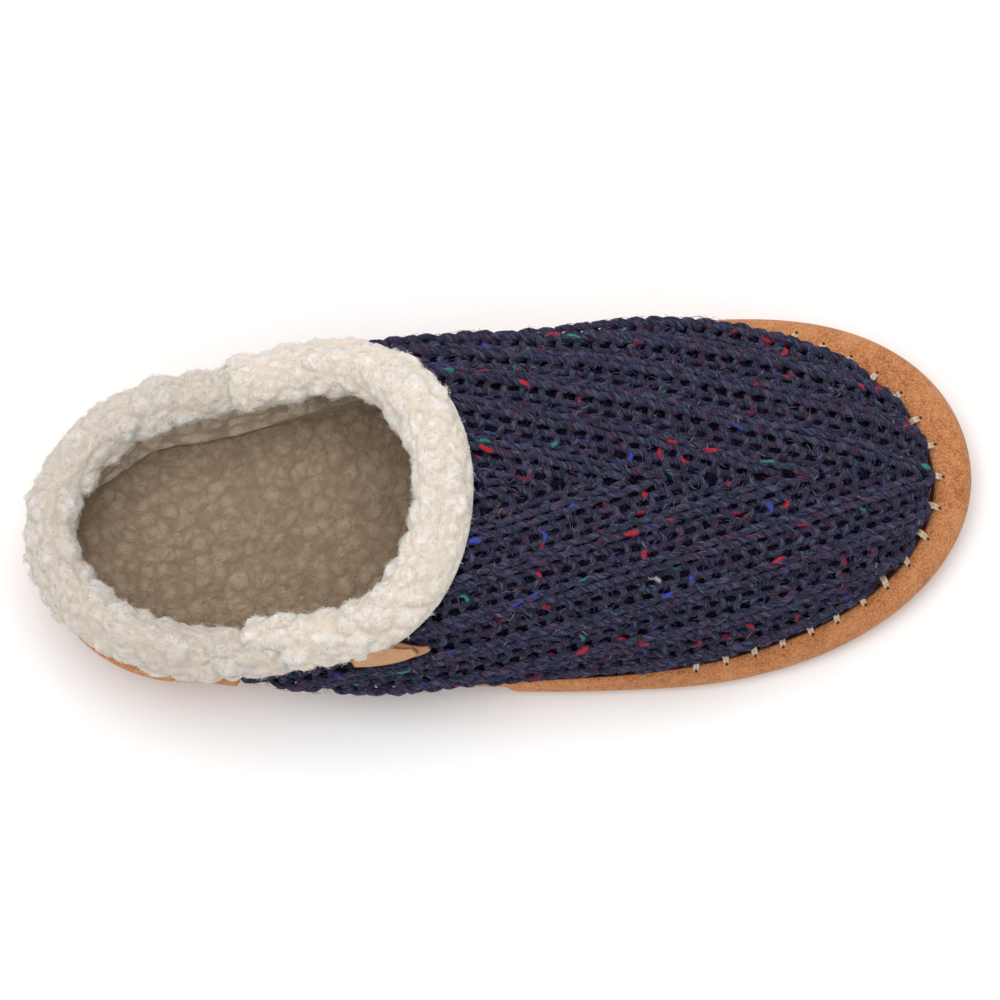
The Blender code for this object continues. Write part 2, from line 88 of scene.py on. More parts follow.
# Plan lines: x and length are shares of the sole's length, y and width are shares of the ball width
SOLE_EDGE = dict(
    heel_x=0.156, heel_y=-0.012, heel_length=0.156, heel_width=0.390,
    waist_x=0.380, waist_outer=-0.462, waist_inner=0.440,
    outer_x=0.658, outer_y=-0.500, outer_power=2.1,
    inner_x=0.721, inner_y=0.500, inner_power=2.6,
    tip_x=1.000, tip_y=0.036)
FEATHER_LINE = dict(
    heel_x=0.156, heel_y=-0.012, heel_length=0.149, heel_width=0.371,
    waist_x=0.380, waist_outer=-0.452, waist_inner=0.434,
    outer_x=0.572, outer_y=-0.463, outer_power=2.25,
    inner_x=0.677, inner_y=0.476, inner_power=1.9,
    tip_x=0.953, tip_y=0.004)
COLLAR_LINE = dict(
    heel_x=0.196, heel_y=-0.026, heel_length=0.176, heel_width=0.328,
    waist_x=0.240, waist_outer=-0.360, waist_inner=0.332,
    outer_x=0.304, outer_y=-0.356, outer_power=2.1,
    inner_x=0.304, inner_y=0.358, inner_power=2.3,
    tip_x=0.426, tip_y=0.025)
SPINE_HEEL = (0.156, -0.012)
SPINE_TOE = (0.780, 0.000)

# Sections of the last: place along the sole, crown height as a share of the instep height, fullness, bulge
SECTION_COLUMNS = ("along", "crown", "fullness", "bulge")
SECTIONS = (
    (0.156, 0.760, 4.60, 0.0016),
    (0.230, 0.900, 4.00, 0.0030),
    (0.300, 1.020, 3.20, 0.0042),
    (0.426, 1.000, 2.50, 0.0042),
    (0.560, 0.930, 2.30, 0.0016),
    (0.680, 0.830, 2.20, 0.0028),
    (0.780, 0.720, 2.10, 0.0022),
)

# Underside of the sole, and its rolled edge from the underside up to the feather line
HEEL_FLAT = (0.045, 0.270)
FOREFOOT_FLAT = (0.565, 0.790)
ARCH_RISE = 0.0024
TOE_SPRING = 0.0055
HEEL_ROLL = 0.0010
EDGE_COLUMNS = ("rim_share", "inset", "height")
SOLE_EDGE_ROWS = (
    (0.00, 0.0040, 0.00),
    (0.00, 0.0012, 0.10),
    (0.00, 0.0000, 0.36),
    (0.10, 0.0003, 0.66),
    (0.34, 0.0004, 0.87),
    (0.68, 0.0002, 0.97),
    (1.00, 0.0000, 1.00),
)

# Sherpa cuffs: thickness outside and inside the wall, rise over the collar's edge, drop down the wall,
# clearance for what lies outside the wall, and share of the thickness trimmed off on the outer side
CUFF_COLUMNS = ("outside", "inside", "rise", "drop", "lining", "outer_trim")
FRONT_CUFF = (0.0086, 0.0050, 0.0074, 0.0100, 0.0006, 0.40)
HEEL_CUFF = (0.0078, 0.0040, 0.0064, 0.0100, 0.0023, 0.00)
CUFF_ROUNDNESS = 2.5

# Mesh density of the last
COLLAR_STATIONS = 60
VAMP_STATIONS = 60
HEEL_RAYS = 36
TOE_RAYS = 64
WALL_ROWS = 52
LINE_STEPS = 160
CURVE_STEPS = 160

# Fibres: points and sides of each, its sway from root to tip in radians, and the least and greatest thickness
# as shares of the set one
FIBRE_POINTS = 4
FIBRE_SIDES = 3
FIBRE_SWAY = 4.5
FIBRE_WIDTHS = (0.6, 1.2)

# Plies of the yarn and of the thread
PLIES = 2

# How far a curl of fleece falls off from its middle, and shifts that make unlike noises for three directions
CURL_ROUND = 0.8
DRIFT_SHIFTS = (0.0, 0.31, 0.67)
TUFT_SHIFTS = (0.11, 0.43, 0.79)


# Colour and number helpers

def srgb(red, green, blue):
    """Linear colour of a colour given as it shows on screen, 0 to 255."""
    shares = np.array([red, green, blue]) / 255
    return tuple(np.where(shares <= 0.04045, shares / 12.92, ((shares + 0.055) / 1.055) ** 2.4).tolist())


def shaded(colour, share):
    """Colour scaled towards black."""
    return tuple(share * x for x in colour)


def unit(vectors):
    """Vectors scaled to length one."""
    return vectors / np.maximum(np.linalg.norm(vectors, axis=-1, keepdims=True), TINY)


def smooth_step(values, start, end):
    """0 before start, 1 after end, eased in between."""
    share = np.clip((values - start) / (end - start), 0, 1)
    return share * share * (3 - 2 * share)


def smooth_through(x, knots_x, knots_y):
    """Cubic curve through the knots, level at both ends."""
    knots_x, knots_y = np.asarray(knots_x), np.asarray(knots_y)
    slope = np.gradient(knots_y, knots_x)
    slope[0] = slope[-1] = 0.0
    x = np.clip(x, knots_x[0], knots_x[-1])
    i = np.clip(np.searchsorted(knots_x, x) - 1, 0, len(knots_x) - 2)
    span = knots_x[i + 1] - knots_x[i]
    t = (x - knots_x[i]) / span
    start = (1 + 2 * t) * (1 - t) ** 2 * knots_y[i] + t * (1 - t) ** 2 * span * slope[i]
    end = t * t * (3 - 2 * t) * knots_y[i + 1] + t * t * (t - 1) * span * slope[i + 1]
    return start + end


def arc_lengths(points):
    """Distance along a polyline to each of its points."""
    steps = np.linalg.norm(np.diff(points, axis=0), axis=1)
    return np.concatenate([[0.0], np.cumsum(steps)])


def interpolate(places, knots, values):
    """Rows of values between knots, at the given places."""
    return np.stack([np.interp(places, knots, column) for column in values.T], axis=1)


def resample(points, places):
    """Points of a polyline at the given distances along it."""
    return interpolate(places, arc_lengths(points), points)


def blend(values, width):
    """Running mean of rows of values."""
    half = width // 2
    padded = np.pad(values, ((half, half), (0, 0)), mode="edge")
    return np.stack([np.convolve(column, np.full(width, 1 / width), "valid") for column in padded.T], axis=1)


def cross(first, second):
    """Cross product of plane vectors."""
    return first[..., 0] * second[..., 1] - first[..., 1] * second[..., 0]


def signed_power(values, power):
    """Power of the sizes of values, with their signs."""
    return np.sign(values) * abs(values) ** power


def from_ends(count):
    """Steps from each point of a row to the nearer end of the row."""
    steps = np.arange(count)
    return np.minimum(steps, steps[::-1])


def outer_share(out):
    """How far a direction points to the outer side of the foot, seen from above."""
    return max(0.0, -out[1] / max(np.hypot(out[0], out[1]), WELD))


# Form of the last

def along(share):
    """World x of a place along the sole."""
    return SOLE_LOW[0] + share * SOLE_LENGTH


def across(share):
    """World y of a share of the ball width."""
    return share * BALL_WIDTH


def plan_line(line):
    """Closed plan outline: heel arc, two smooth sides and a toe of two quarter superellipses."""
    turn = np.linspace(pi / 2, 3 * pi / 2, LINE_STEPS)
    heel_x, heel_y = along(line["heel_x"]), across(line["heel_y"])
    heel_length, heel_width = line["heel_length"] * SOLE_LENGTH, across(line["heel_width"])
    tip_x, tip_y = along(line["tip_x"]), across(line["tip_y"])
    heel = np.stack([heel_x + heel_length * np.cos(turn), heel_y + heel_width * np.sin(turn)], axis=1)
    sides, toes = [], []
    for side, sign in (("outer", -1), ("inner", 1)):
        start_x, start_y = along(line[side + "_x"]), across(line[side + "_y"])
        waist_x, waist_y = along(line["waist_x"]), across(line["waist_" + side])
        x = np.linspace(heel_x, start_x, LINE_STEPS)[1:-1]
        y = smooth_through(x, (heel_x, waist_x, start_x), (heel_y + sign * heel_width, waist_y, start_y))
        sides.append(np.stack([x, y], axis=1))
        bend = np.linspace(0, pi / 2, LINE_STEPS)
        toe_x = start_x + (tip_x - start_x) * np.sin(bend) ** (2 / line[side + "_power"])
        toe_y = tip_y + (start_y - tip_y) * np.cos(bend)
        toes.append(np.stack([toe_x, toe_y], axis=1))
    return np.concatenate([heel, sides[0], toes[0][:-1], toes[1][::-1], sides[1][::-1]])


def ray_reach(outline, origin, direction):
    """Distance from the origin to the outline along a direction, or 0 where the origin is outside."""
    start = outline - origin
    edge = np.roll(start, -1, axis=0) - start
    slant = cross(direction, edge)
    slant = np.where(np.abs(slant) < PARALLEL, PARALLEL, slant)
    reach = cross(start, edge) / slant
    place = cross(start, direction) / slant
    hits = reach[(place >= 0) & (place <= 1) & (reach > 0)]
    return hits.max() if len(hits) % 2 else 0.0


def spine_point(x):
    """Point of the spine, which runs under the crown, at a world x."""
    heel = np.array([along(SPINE_HEEL[0]), across(SPINE_HEEL[1])])
    toe = np.array([along(SPINE_TOE[0]), across(SPINE_TOE[1])])
    return heel + (toe - heel) * (x - heel[0]) / (toe[0] - heel[0])


def toe_rise(x):
    """Toe spring at a world x."""
    start, tip = along(FOREFOOT_FLAT[1]), along(1.0)
    return TOE_SPRING * np.maximum(0.0, (x - start) / (tip - start)) ** 2


def underside(x):
    """Height of the sole's underside at a world x."""
    arch_start, arch_end = along(HEEL_FLAT[1]), along(FOREFOOT_FLAT[0])
    place = np.clip((x - arch_start) / (arch_end - arch_start), 0.0, 1.0)
    back = np.maximum(0.0, (along(HEEL_FLAT[0]) - x) / (along(HEEL_FLAT[0]) - along(0.0)))
    return ARCH_RISE * np.sin(pi * place) ** 2 + HEEL_ROLL * back ** 2 + toe_rise(x)


def sole_level(x, height):
    """Height at a world x, from the underside (0) to the top (1) of the sole."""
    return underside(x) * (1 - height) + (SOLE_THICKNESS + toe_rise(x)) * height


def section_value(column, x):
    """Value of a section column at a world x."""
    k = SECTION_COLUMNS.index(column)
    return smooth_through(x, [along(row[0]) for row in SECTIONS], [row[k] for row in SECTIONS])


def edge_value(column, row):
    """Value of a column of the sole's edge table at a row number, which may lie between rows."""
    k = EDGE_COLUMNS.index(column)
    return smooth_through(row, range(len(SOLE_EDGE_ROWS)), [line[k] for line in SOLE_EDGE_ROWS])


class Last:
    """Surface of the shoe: sections on rays from the spine, once round from the back of the heel by the
    outer side. wall[section, row] goes up from the feather line to the crown or the collar."""

    CORNERS = 4

    def __init__(self):
        self.front_x = along(COLLAR_LINE["tip_x"])
        self.seam_x = along(SIDE_SEAM)
        heel_x, self.toe_x = along(SPINE_HEEL[0]), along(SPINE_TOE[0])
        stations = np.unique(np.concatenate([
            np.linspace(heel_x, self.front_x, COLLAR_STATIONS, endpoint=False), [self.seam_x],
            np.linspace(self.front_x, self.toe_x, VAMP_STATIONS + 1)]))
        heel_step = pi / 2 / HEEL_RAYS
        fan = [(heel_x, pi + k * heel_step) for k in range(HEEL_RAYS)]
        fan += [(x, -pi / 2) for x in stations]
        fan += [(self.toe_x, -pi / 2 + k * pi / TOE_RAYS) for k in range(1, TOE_RAYS)]
        fan += [(x, pi / 2) for x in stations[::-1]]
        fan += [(heel_x, pi / 2 + k * heel_step) for k in range(1, HEEL_RAYS)]
        self.at = np.array([x for x, _ in fan])
        self.turn = np.array([turn for _, turn in fan])
        self.origins = np.array([spine_point(x) for x in self.at])
        self.directions = np.stack([np.cos(self.turn), np.sin(self.turn)], axis=1)
        self.sole_line, self.feather_line = plan_line(SOLE_EDGE), plan_line(FEATHER_LINE)
        self.sole_reach = self.reaches(self.sole_line)
        self.feather_reach = self.reaches(self.feather_line)
        self.collar_reach = np.where(self.at < self.front_x - GAP, self.reaches(plan_line(COLLAR_LINE)), 0.0)
        sections = [self.section(k) for k in range(len(fan))]
        rows = np.linspace(0, 1, WALL_ROWS + 1)
        whole = np.array([resample(points, rows * lengths[-1]) for points, lengths, _ in sections])
        self.whole_normals = wall_normals(whole)
        self.wall = np.array([resample(points, rows * top) for points, _, top in sections])
        self.from_crown = np.array([lengths[-1] - rows * top for _, lengths, top in sections])
        self.normals = unit(np.array([
            interpolate(rows * top / lengths[-1], rows, normals)
            for normals, (_, lengths, top) in zip(self.whole_normals, sections)]))
        self.face = BVHTree.FromPolygons(whole.reshape(-1, 3).tolist(), wall_faces(*whole.shape[:2]))
        self.points = KDTree(whole[..., 0].size)
        for k, point in enumerate(whole.reshape(-1, 3)):
            self.points.insert(point, k)
        self.points.balance()

    def reaches(self, outline):
        """Reach of every ray to a plan line."""
        return np.array([ray_reach(outline, *ray) for ray in zip(self.origins, self.directions)])

    def section(self, k):
        """Points of one section up to the crown, their distances along it, and the distance to the collar."""
        origin, direction, reach = self.origins[k], self.directions[k], self.feather_reach[k]
        floor = SOLE_THICKNESS + 2 * GAP + toe_rise(origin[0] + direction[0] * reach)
        height = section_value("crown", origin[0]) * INSTEP_HEIGHT - floor
        turn = np.linspace(0, pi / 2, CURVE_STEPS)
        level = height * np.sin(turn)
        beside_seam = np.exp(-((origin[0] - along(OUTER_SWELL_AT)) / OUTER_SWELL_LENGTH) ** 2)
        bulge = section_value("bulge", origin[0]) + OUTER_SWELL * beside_seam * max(-direction[1], 0.0)
        swell = bulge * (level / BULGE_HEIGHT * np.exp(1 - level / BULGE_HEIGHT)) ** 2
        fullness = section_value("fullness", origin[0])
        out = (reach + swell) * np.maximum(np.cos(turn), 0.0) ** (2 / fullness)
        out[-1] = 0.0
        points = np.column_stack([origin + direction * out[:, None], floor + level])
        lengths = arc_lengths(points)
        widest = np.argmax(out)
        top = np.interp(self.collar_reach[k], out[widest:][::-1], lengths[widest:][::-1])
        return points, lengths, top

    def over(self, plan):
        """Point of the surface, carried on over the opening, above a plan point."""
        return np.array(self.face.ray_cast((*plan, 2 * INSTEP_HEIGHT), (0.0, 0.0, -1.0))[0])

    def foot(self, point):
        """Nearest point of the surface, and its normal there, blended from the corners around it."""
        nearest = self.face.find_nearest(point)[0]
        normal = np.zeros(3)
        for _, k, distance in self.points.find_n(nearest, self.CORNERS):
            normal += self.whole_normals.reshape(-1, 3)[k] / (distance + GAP)
        return np.array(nearest), unit(normal)

    def behind(self, x):
        """Sections behind a world x, from the inner side round the heel to the outer side."""
        chosen = self.at <= x + WELD
        count = len(self.at)
        start = next(k for k in range(count) if chosen[k] and not chosen[k - 1])
        return [(start + k) % count for k in range(count) if chosen[(start + k) % count]]

    def half(self, sign):
        """Sections of the knit from the side seam to the toe's tip on the outer (-1) or inner (1) side."""
        side = np.sin(self.turn) * sign > -LEVEL
        chosen = np.nonzero(side & (self.at >= self.seam_x - WELD))[0]
        return chosen if sign < 0 else chosen[::-1]


def wall_normals(wall):
    """Outward normals of a wall [section, row], taking the next row's where sections meet in one point."""
    beside = np.roll(wall, -1, axis=0) - np.roll(wall, 1, axis=0)
    normals = np.cross(unit(beside), unit(np.gradient(wall, axis=1)))
    weak = np.linalg.norm(beside[:, -1], axis=1) < DOUBLE
    normals[weak, -1] = normals[weak, -2]
    return unit(normals)


def wall_faces(count, rows):
    """Corner numbers of a wall's faces, once round."""
    corners = []
    for k in range(count):
        here, there = k * rows, (k + 1) % count * rows
        corners += [(here + j, there + j, there + j + 1, here + j + 1) for j in range(rows - 1)]
    return corners


@lru_cache(maxsize=None)
def the_last():
    """The shoe's surface, worked out once."""
    return Last()


class CollarPath:
    """The collar's edge behind or in front of a joint at a world x, with the wall's normal along it."""

    BLEND = 9

    def __init__(self, behind, joint_x):
        self.last = the_last()
        line = plan_line(COLLAR_LINE)
        chosen = (line[:, 0] <= joint_x) == behind
        start = next(k for k in range(len(line)) if chosen[k] and not chosen[k - 1])
        line = np.roll(line, -start, axis=0)[:chosen.sum()]
        self.edge = np.array([self.last.over(plan) for plan in line])
        self.normals = np.array([self.last.foot(point)[1] for point in self.edge])
        self.lengths = arc_lengths(self.edge)

    def place_at(self, x, sign):
        """Distance along the edge to a world x on the inner (1) or outer (-1) side."""
        side = np.nonzero(np.sign(self.edge[:, 1]) == sign)[0]
        return self.lengths[side[np.argmin(abs(self.edge[side, 0] - x))]]

    def frames(self, places):
        """Point, outward, tangent and upward directions at each place along the edge."""
        path = resample(self.edge, places)
        out = blend(interpolate(places, self.lengths, self.normals), self.BLEND)
        tangent = unit(blend(np.gradient(path, axis=0), self.BLEND))
        out = unit(out - tangent * np.sum(out * tangent, axis=1, keepdims=True))
        return path, out, tangent, unit(np.cross(out, tangent))

    def point(self, station, reach, height):
        """Point at a reach out from the wall and a height over the edge, or down the wall below it."""
        path, out, _, up = station
        base, normal = path + up * height, out
        if height < 0:
            base, normal = self.last.foot(base)
        return base + normal * reach


# Mesh helpers

def add_sheet(mesh, points, **layers):
    """Lay a grid through points[row, column]. Each layer is a name and a value for every point."""
    rows, columns = points.shape[:2]
    stored = {name: mesh.verts.layers.float.get(name) or mesh.verts.layers.float.new(name) for name in layers}
    made = bmesh.ops.create_grid(mesh, x_segments=columns - 1, y_segments=rows - 1, size=1.0)["verts"]
    for vert, point in zip(made, points.reshape(-1, 3).tolist()):
        vert.co = point
    for name, values in layers.items():
        layer = stored[name]
        for vert, value in zip(made, np.broadcast_to(values, points.shape[:2]).ravel().tolist()):
            vert[layer] = value


def around(points):
    """Points or values [row, column] with the first column again at the end, so that the sheet closes."""
    return np.concatenate([points, points[:, :1]], axis=1)


def add_slab(mesh, outer, inner, **layers):
    """Close two sheets of points[row, column] that face each other into one slab."""
    ring = np.concatenate([outer, inner[::-1], outer[:1]])
    values = {name: np.concatenate([value, value[::-1], value[:1]]) for name, value in layers.items()}
    add_sheet(mesh, ring, **values)
    for end in (0, -1):
        ends = {name: np.stack([value[:, end], value[:, end]]) for name, value in layers.items()}
        add_sheet(mesh, np.stack([outer[:, end], inner[:, end]]), **ends)
    weld(mesh)


def add_shell(mesh, outer, inner, **layers):
    """Close two walls of the last, points[section, row], into one shell that is open at the collar."""
    last = the_last()
    rim = last.behind(last.front_x)
    sheets = [np.swapaxes(outer, 0, 1), np.swapaxes(inner, 0, 1)[::-1]]
    values = {name: np.swapaxes(value, 0, 1) for name, value in layers.items()}
    add_sheet(mesh, around(sheets[0]), **{name: around(value) for name, value in values.items()})
    add_sheet(mesh, around(sheets[1]), **{name: around(value[::-1]) for name, value in values.items()})
    add_sheet(mesh, around(np.stack([inner[:, 0], outer[:, 0]])),
              **{name: around(value[[0, 0]]) for name, value in values.items()})
    add_sheet(mesh, np.stack([outer[rim, -1], inner[rim, -1]]),
              **{name: value[-1:, rim].repeat(2, axis=0) for name, value in values.items()})
    weld(mesh)


def weld(mesh):
    """Merge doubles, then turn every face outwards."""
    bmesh.ops.remove_doubles(mesh, verts=mesh.verts, dist=DOUBLE)
    bmesh.ops.dissolve_degenerate(mesh, edges=mesh.edges, dist=WELD)
    bmesh.ops.recalc_face_normals(mesh, faces=mesh.faces)


def sheet_normals(points, closed=True):
    """Normals of a sheet of points[row, column], which may close on itself along its columns."""
    across_rows = np.gradient(points, axis=1)
    if closed:
        across_rows = np.roll(points, -1, axis=1) - np.roll(points, 1, axis=1)
    return unit(np.cross(unit(across_rows), unit(np.gradient(points, axis=0))))


def tube(path, normals, radius, sides):
    """Rings of a round tube along a path, closed to a point at both ends, with its seam on the underside."""
    tangent = unit(np.gradient(path, axis=0))
    side = unit(np.cross(tangent, normals))
    above = np.cross(side, tangent)
    turn = np.linspace(-pi / 2, 3 * pi / 2, sides + 1)
    radius = np.broadcast_to(radius, len(path))[:, None, None]
    ring = side[:, None] * np.cos(turn)[:, None] + above[:, None] * np.sin(turn)[:, None]
    rings = path[:, None] + ring * radius
    ends = [np.repeat(path[k][None, None], sides + 1, axis=1) for k in (0, -1)]
    return np.concatenate([ends[0], rings, ends[1]])


def make_piece(name, mesh, material, replaced=()):
    """Object of a piece from its bmesh, riding on the shoe."""
    bmesh.ops.remove_doubles(mesh, verts=mesh.verts, dist=WELD)
    bmesh.ops.dissolve_degenerate(mesh, edges=mesh.edges, dist=WELD)
    data = bpy.data.meshes.new(name)
    mesh.to_mesh(data)
    mesh.free()
    return place_piece(data, material, replaced)


def place_piece(data, material, replaced=()):
    """Object of a finished mesh, riding on the shoe."""
    data.shade_smooth()
    data.materials.append(material)
    piece = bpy.data.objects.new(data.name, data)
    bpy.context.scene.collection.objects.link(piece)
    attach(piece, "root")
    if replaced:
        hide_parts(*replaced)
    return piece


def make_fibres(name, paths, radius, tones, material):
    """Joined mesh of many thin fibres along paths[fibre, point], pointed at both ends."""
    count, points = paths.shape[:2]
    tangent = unit(np.gradient(paths, axis=1))
    off_axis = np.roll(tangent, 1, axis=2) + 0.3
    side = unit(np.cross(tangent, off_axis))
    above = np.cross(side, tangent)
    turn = np.arange(FIBRE_SIDES) * 2 * pi / FIBRE_SIDES
    ring = side[:, :, None] * np.cos(turn)[:, None] + above[:, :, None] * np.sin(turn)[:, None]
    rings = (paths[:, :, None] + ring * np.broadcast_to(radius, count)[:, None, None, None])[:, 1:-1]
    verts = np.concatenate([paths[:, :1], rings.reshape(count, -1, 3), paths[:, -1:]], axis=1)
    size, tip = verts.shape[1], verts.shape[1] - 1
    faces = []
    for k in range(FIBRE_SIDES):
        n = (k + 1) % FIBRE_SIDES
        faces.append((0, 1 + n, 1 + k))
        for row in range(points - 3):
            low = 1 + FIBRE_SIDES * row
            high = low + FIBRE_SIDES
            faces += [(low + k, low + n, high + n), (low + k, high + n, high + k)]
        faces.append((tip - FIBRE_SIDES + k, tip - FIBRE_SIDES + n, tip))
    faces = (np.array(faces)[None] + size * np.arange(count)[:, None, None]).reshape(-1, 3)
    data = bpy.data.meshes.new(name)
    data.from_pydata(verts.reshape(-1, 3).tolist(), [], faces.tolist())
    data.attributes.new("fibre_tone", "FLOAT", "POINT").data.foreach_set("value", np.repeat(tones, size))
    return place_piece(data, material)


def tease_fibres(name, roots, normals, headings, rng, material, slot,
                 width, length, spread, lean, lift, curl):
    """Fibres that lie along a surface, lean a little off it and lift and curl on their way."""
    count = len(roots)
    headings = headings - normals * (headings * normals).sum(axis=1, keepdims=True)
    headings = unit(headings) + lean * normals
    lengths = rng.uniform(*spread, count) * length
    paths = fibre_paths(roots, normals, headings, lengths, lift, curl, rng)
    radius = width / 2 * rng.uniform(*FIBRE_WIDTHS, count)
    make_fibres(name, paths, radius, rng.uniform(0, 1, count), material)


def fibre_paths(roots, normals, headings, lengths, lift, curl, rng):
    """Paths of fibres that start in the surface, lift off it along their headings and curl sideways."""
    share = np.linspace(0, 1, FIBRE_POINTS)[None, :, None]
    ahead = unit(headings)[:, None]
    up = normals[:, None]
    beside = np.cross(ahead, up)
    reach = lengths[:, None, None]
    phase = rng.uniform(0, 2 * pi, (len(roots), 1, 1))
    sway = curl * (np.sin(FIBRE_SWAY * share + phase) - np.sin(phase))
    return roots[:, None] + reach * (ahead * share + up * lift * np.sin(pi * share) + beside * sway)


def curl_relief(points, pitch, softness):
    """Soft curls of fleece at points: height from 0 to 1, and how far each lies out of the clefts."""
    flat = points.reshape(-1, 3) / pitch
    nearest = np.array([noise.voronoi(point)[0][:2] for point in flat])
    parting = np.clip((nearest[:, 1] - nearest[:, 0]) / softness, 0, 1)
    open_air = parting * (2 - parting)
    height = open_air * (1 - CURL_ROUND * nearest[:, 0] ** 2)
    return height.reshape(points.shape[:-1]), open_air.reshape(points.shape[:-1])


def soft_noise(points, pitch):
    """Smooth noise at points, from -1 to 1."""
    flat = points.reshape(-1, 3) / pitch
    return np.array([noise.noise(point) for point in flat]).reshape(points.shape[:-1])


def drift(points, pitch, shifts=DRIFT_SHIFTS):
    """Smooth noise vectors at points, from -1 to 1 in each direction."""
    return np.stack([soft_noise(points + shift, pitch) for shift in shifts], axis=-1)


# Material helper

class Finish:
    """A node material being put together on a Principled shader."""

    def __init__(self, name, **constants):
        self.material = bpy.data.materials.new(name)
        self.material.use_nodes = True
        self.tree = self.material.node_tree
        self.shader = self.tree.nodes["Principled BSDF"]
        self.place = self.tree.nodes.new("ShaderNodeTexCoord").outputs["Object"]
        for socket, value in constants.items():
            self.shader.inputs[socket.replace("_", " ")].default_value = value

    def node(self, kind, inputs, output=0, **settings):
        """New node with its inputs set or linked by number or name; gives one output."""
        node = self.tree.nodes.new("ShaderNode" + kind)
        for key, value in settings.items():
            setattr(node, key, value)
        for key, value in inputs.items():
            self.feed(node.inputs[key], value)
        return node.outputs[output]

    def feed(self, socket, value):
        """Link an output to a socket, or set the socket's value."""
        if isinstance(value, bpy.types.NodeSocket):
            self.tree.links.new(value, socket)
        else:
            socket.default_value = value

    def set(self, socket, value):
        """Link an output to the shader."""
        self.tree.links.new(value, self.shader.inputs[socket])

    def attribute(self, name):
        """Value stored on the mesh."""
        return self.node("Attribute", {}, "Fac", attribute_name=name)

    def math(self, operation, *values):
        """Result of an operation on one or two values."""
        return self.node("Math", dict(enumerate(values)), operation=operation)

    def plus(self, first, second):
        """Sum of two values."""
        return self.math("ADD", first, second)

    def times(self, first, second):
        """Product of two values."""
        return self.math("MULTIPLY", first, second)

    def noise(self, size, detail=2.0, roughness=0.5, vector=None, output=0):
        """Noise with features of a size in metres, or in the units of another vector."""
        inputs = {"Vector": vector or self.place, "Scale": 1 / size, "Detail": detail, "Roughness": roughness}
        return self.node("TexNoise", inputs, output)

    def ramp(self, value, *stops):
        """Colours (place, colour) blended along a value."""
        node = self.tree.nodes.new("ShaderNodeValToRGB")
        elements = node.color_ramp.elements
        while len(elements) < len(stops):
            elements.new(0.5)
        for element, (place, colour) in zip(elements, stops):
            element.position = place
            element.color = (*colour, 1.0) if hasattr(colour, "__len__") else (colour, colour, colour, 1.0)
        self.feed(node.inputs[0], value)
        return node.outputs[0]

    def mix(self, share, first, second):
        """Two colours blended."""
        first, second = (c if isinstance(c, bpy.types.NodeSocket) else (*c, 1.0) for c in (first, second))
        return self.node("Mix", {0: share, 6: first, 7: second}, 2, data_type="RGBA")

    def bump(self, height, depth, normal=None):
        """Relief of a depth in metres, over an earlier relief."""
        inputs = {"Height": height, "Distance": depth}
        if normal:
            inputs["Normal"] = normal
        return self.node("Bump", inputs)


# Settings

def length(name, description, default):
    """Length setting in metres."""
    return FloatProperty(name=name, description=description, default=default, min=0.0, unit="LENGTH",
                         subtype="DISTANCE", precision=5)


def number(name, description, default):
    """Count of small things."""
    return IntProperty(name=name, description=description, default=default, min=1)


def colour(name, description, shown):
    """Colour setting, from a colour as it shows on screen."""
    return FloatVectorProperty(name=name, description=description, default=srgb(*shown), size=3, min=0.0,
                               max=1.0, subtype="COLOR")


class KnitSettings(bpy.types.PropertyGroup):
    """Yarn and stitches of the knit upper."""
    pair_pitch: length("Rib pitch", "Width of one raised and one sunken column of stitches", 0.0116)
    raised_width: length("Raised column", "Width of a raised column of stitches", 0.0045)
    course: length("Course", "Spacing of the rows of stitches", 0.0054)
    yarn: length("Yarn", "Thickness of the yarn", 0.00215)
    overlap: length("Overlap", "How far a loop reaches past its own course", 0.0023)
    raised_depth: length("Raised relief", "Half the height of the raised loops over the cloth", 0.0009)
    sunken_depth: length("Sunken relief", "Half the depth of the sunken loops below the cloth", 0.0005)
    cloth_depth: length("Cloth depth", "Depth of the cloth's middle below the last's surface", 0.0023)
    slope: FloatProperty(name="Rib slope", description="Fall of the ribs towards the crown line",
                         default=0.27)
    twist: length("Ply twist", "Length of one turn of the yarn's plies", 0.0060)
    hair: length("Hair", "Thickness of the loose hairs", 0.00013)
    hair_length: length("Hair length", "Length of the loose hairs", 0.0030)
    hairs: number("Hairs", "Loose hairs on each side of the upper", 8000)
    navy: colour("Navy", "Main colour of the yarn", (47, 44, 70))
    plum: colour("Plum", "Warm strands in the yarn", (92, 46, 68))
    deep_teal: colour("Deep teal", "Cool strands in the yarn", (38, 66, 80))
    slate: colour("Slate", "Pale fibre of the yarn", (112, 112, 146))
    # Painted shade: near-black standing for the shade deep in the gaps between the stitches and between the
    # yarn's fibres
    ink_shade: colour("Ink", "Shade deep between the stitches", (10, 9, 16))
    fleck_length: length("Fleck length", "Length of yarn with one chance of a fleck", 0.0044)
    fleck_share: FloatProperty(name="Fleck share", description="Share of those lengths with a bright fleck",
                               default=0.115, subtype="FACTOR")
    red: colour("Red fleck", "Colour of the red flecks", (206, 36, 52))
    teal: colour("Teal fleck", "Colour of the teal flecks", (56, 146, 136))
    blue: colour("Blue fleck", "Colour of the blue flecks", (62, 82, 190))
    maroon: colour("Maroon fleck", "Colour of the dark red flecks", (132, 40, 62))
    pale: colour("Pale fleck", "Colour of the pale flecks", (190, 180, 176))


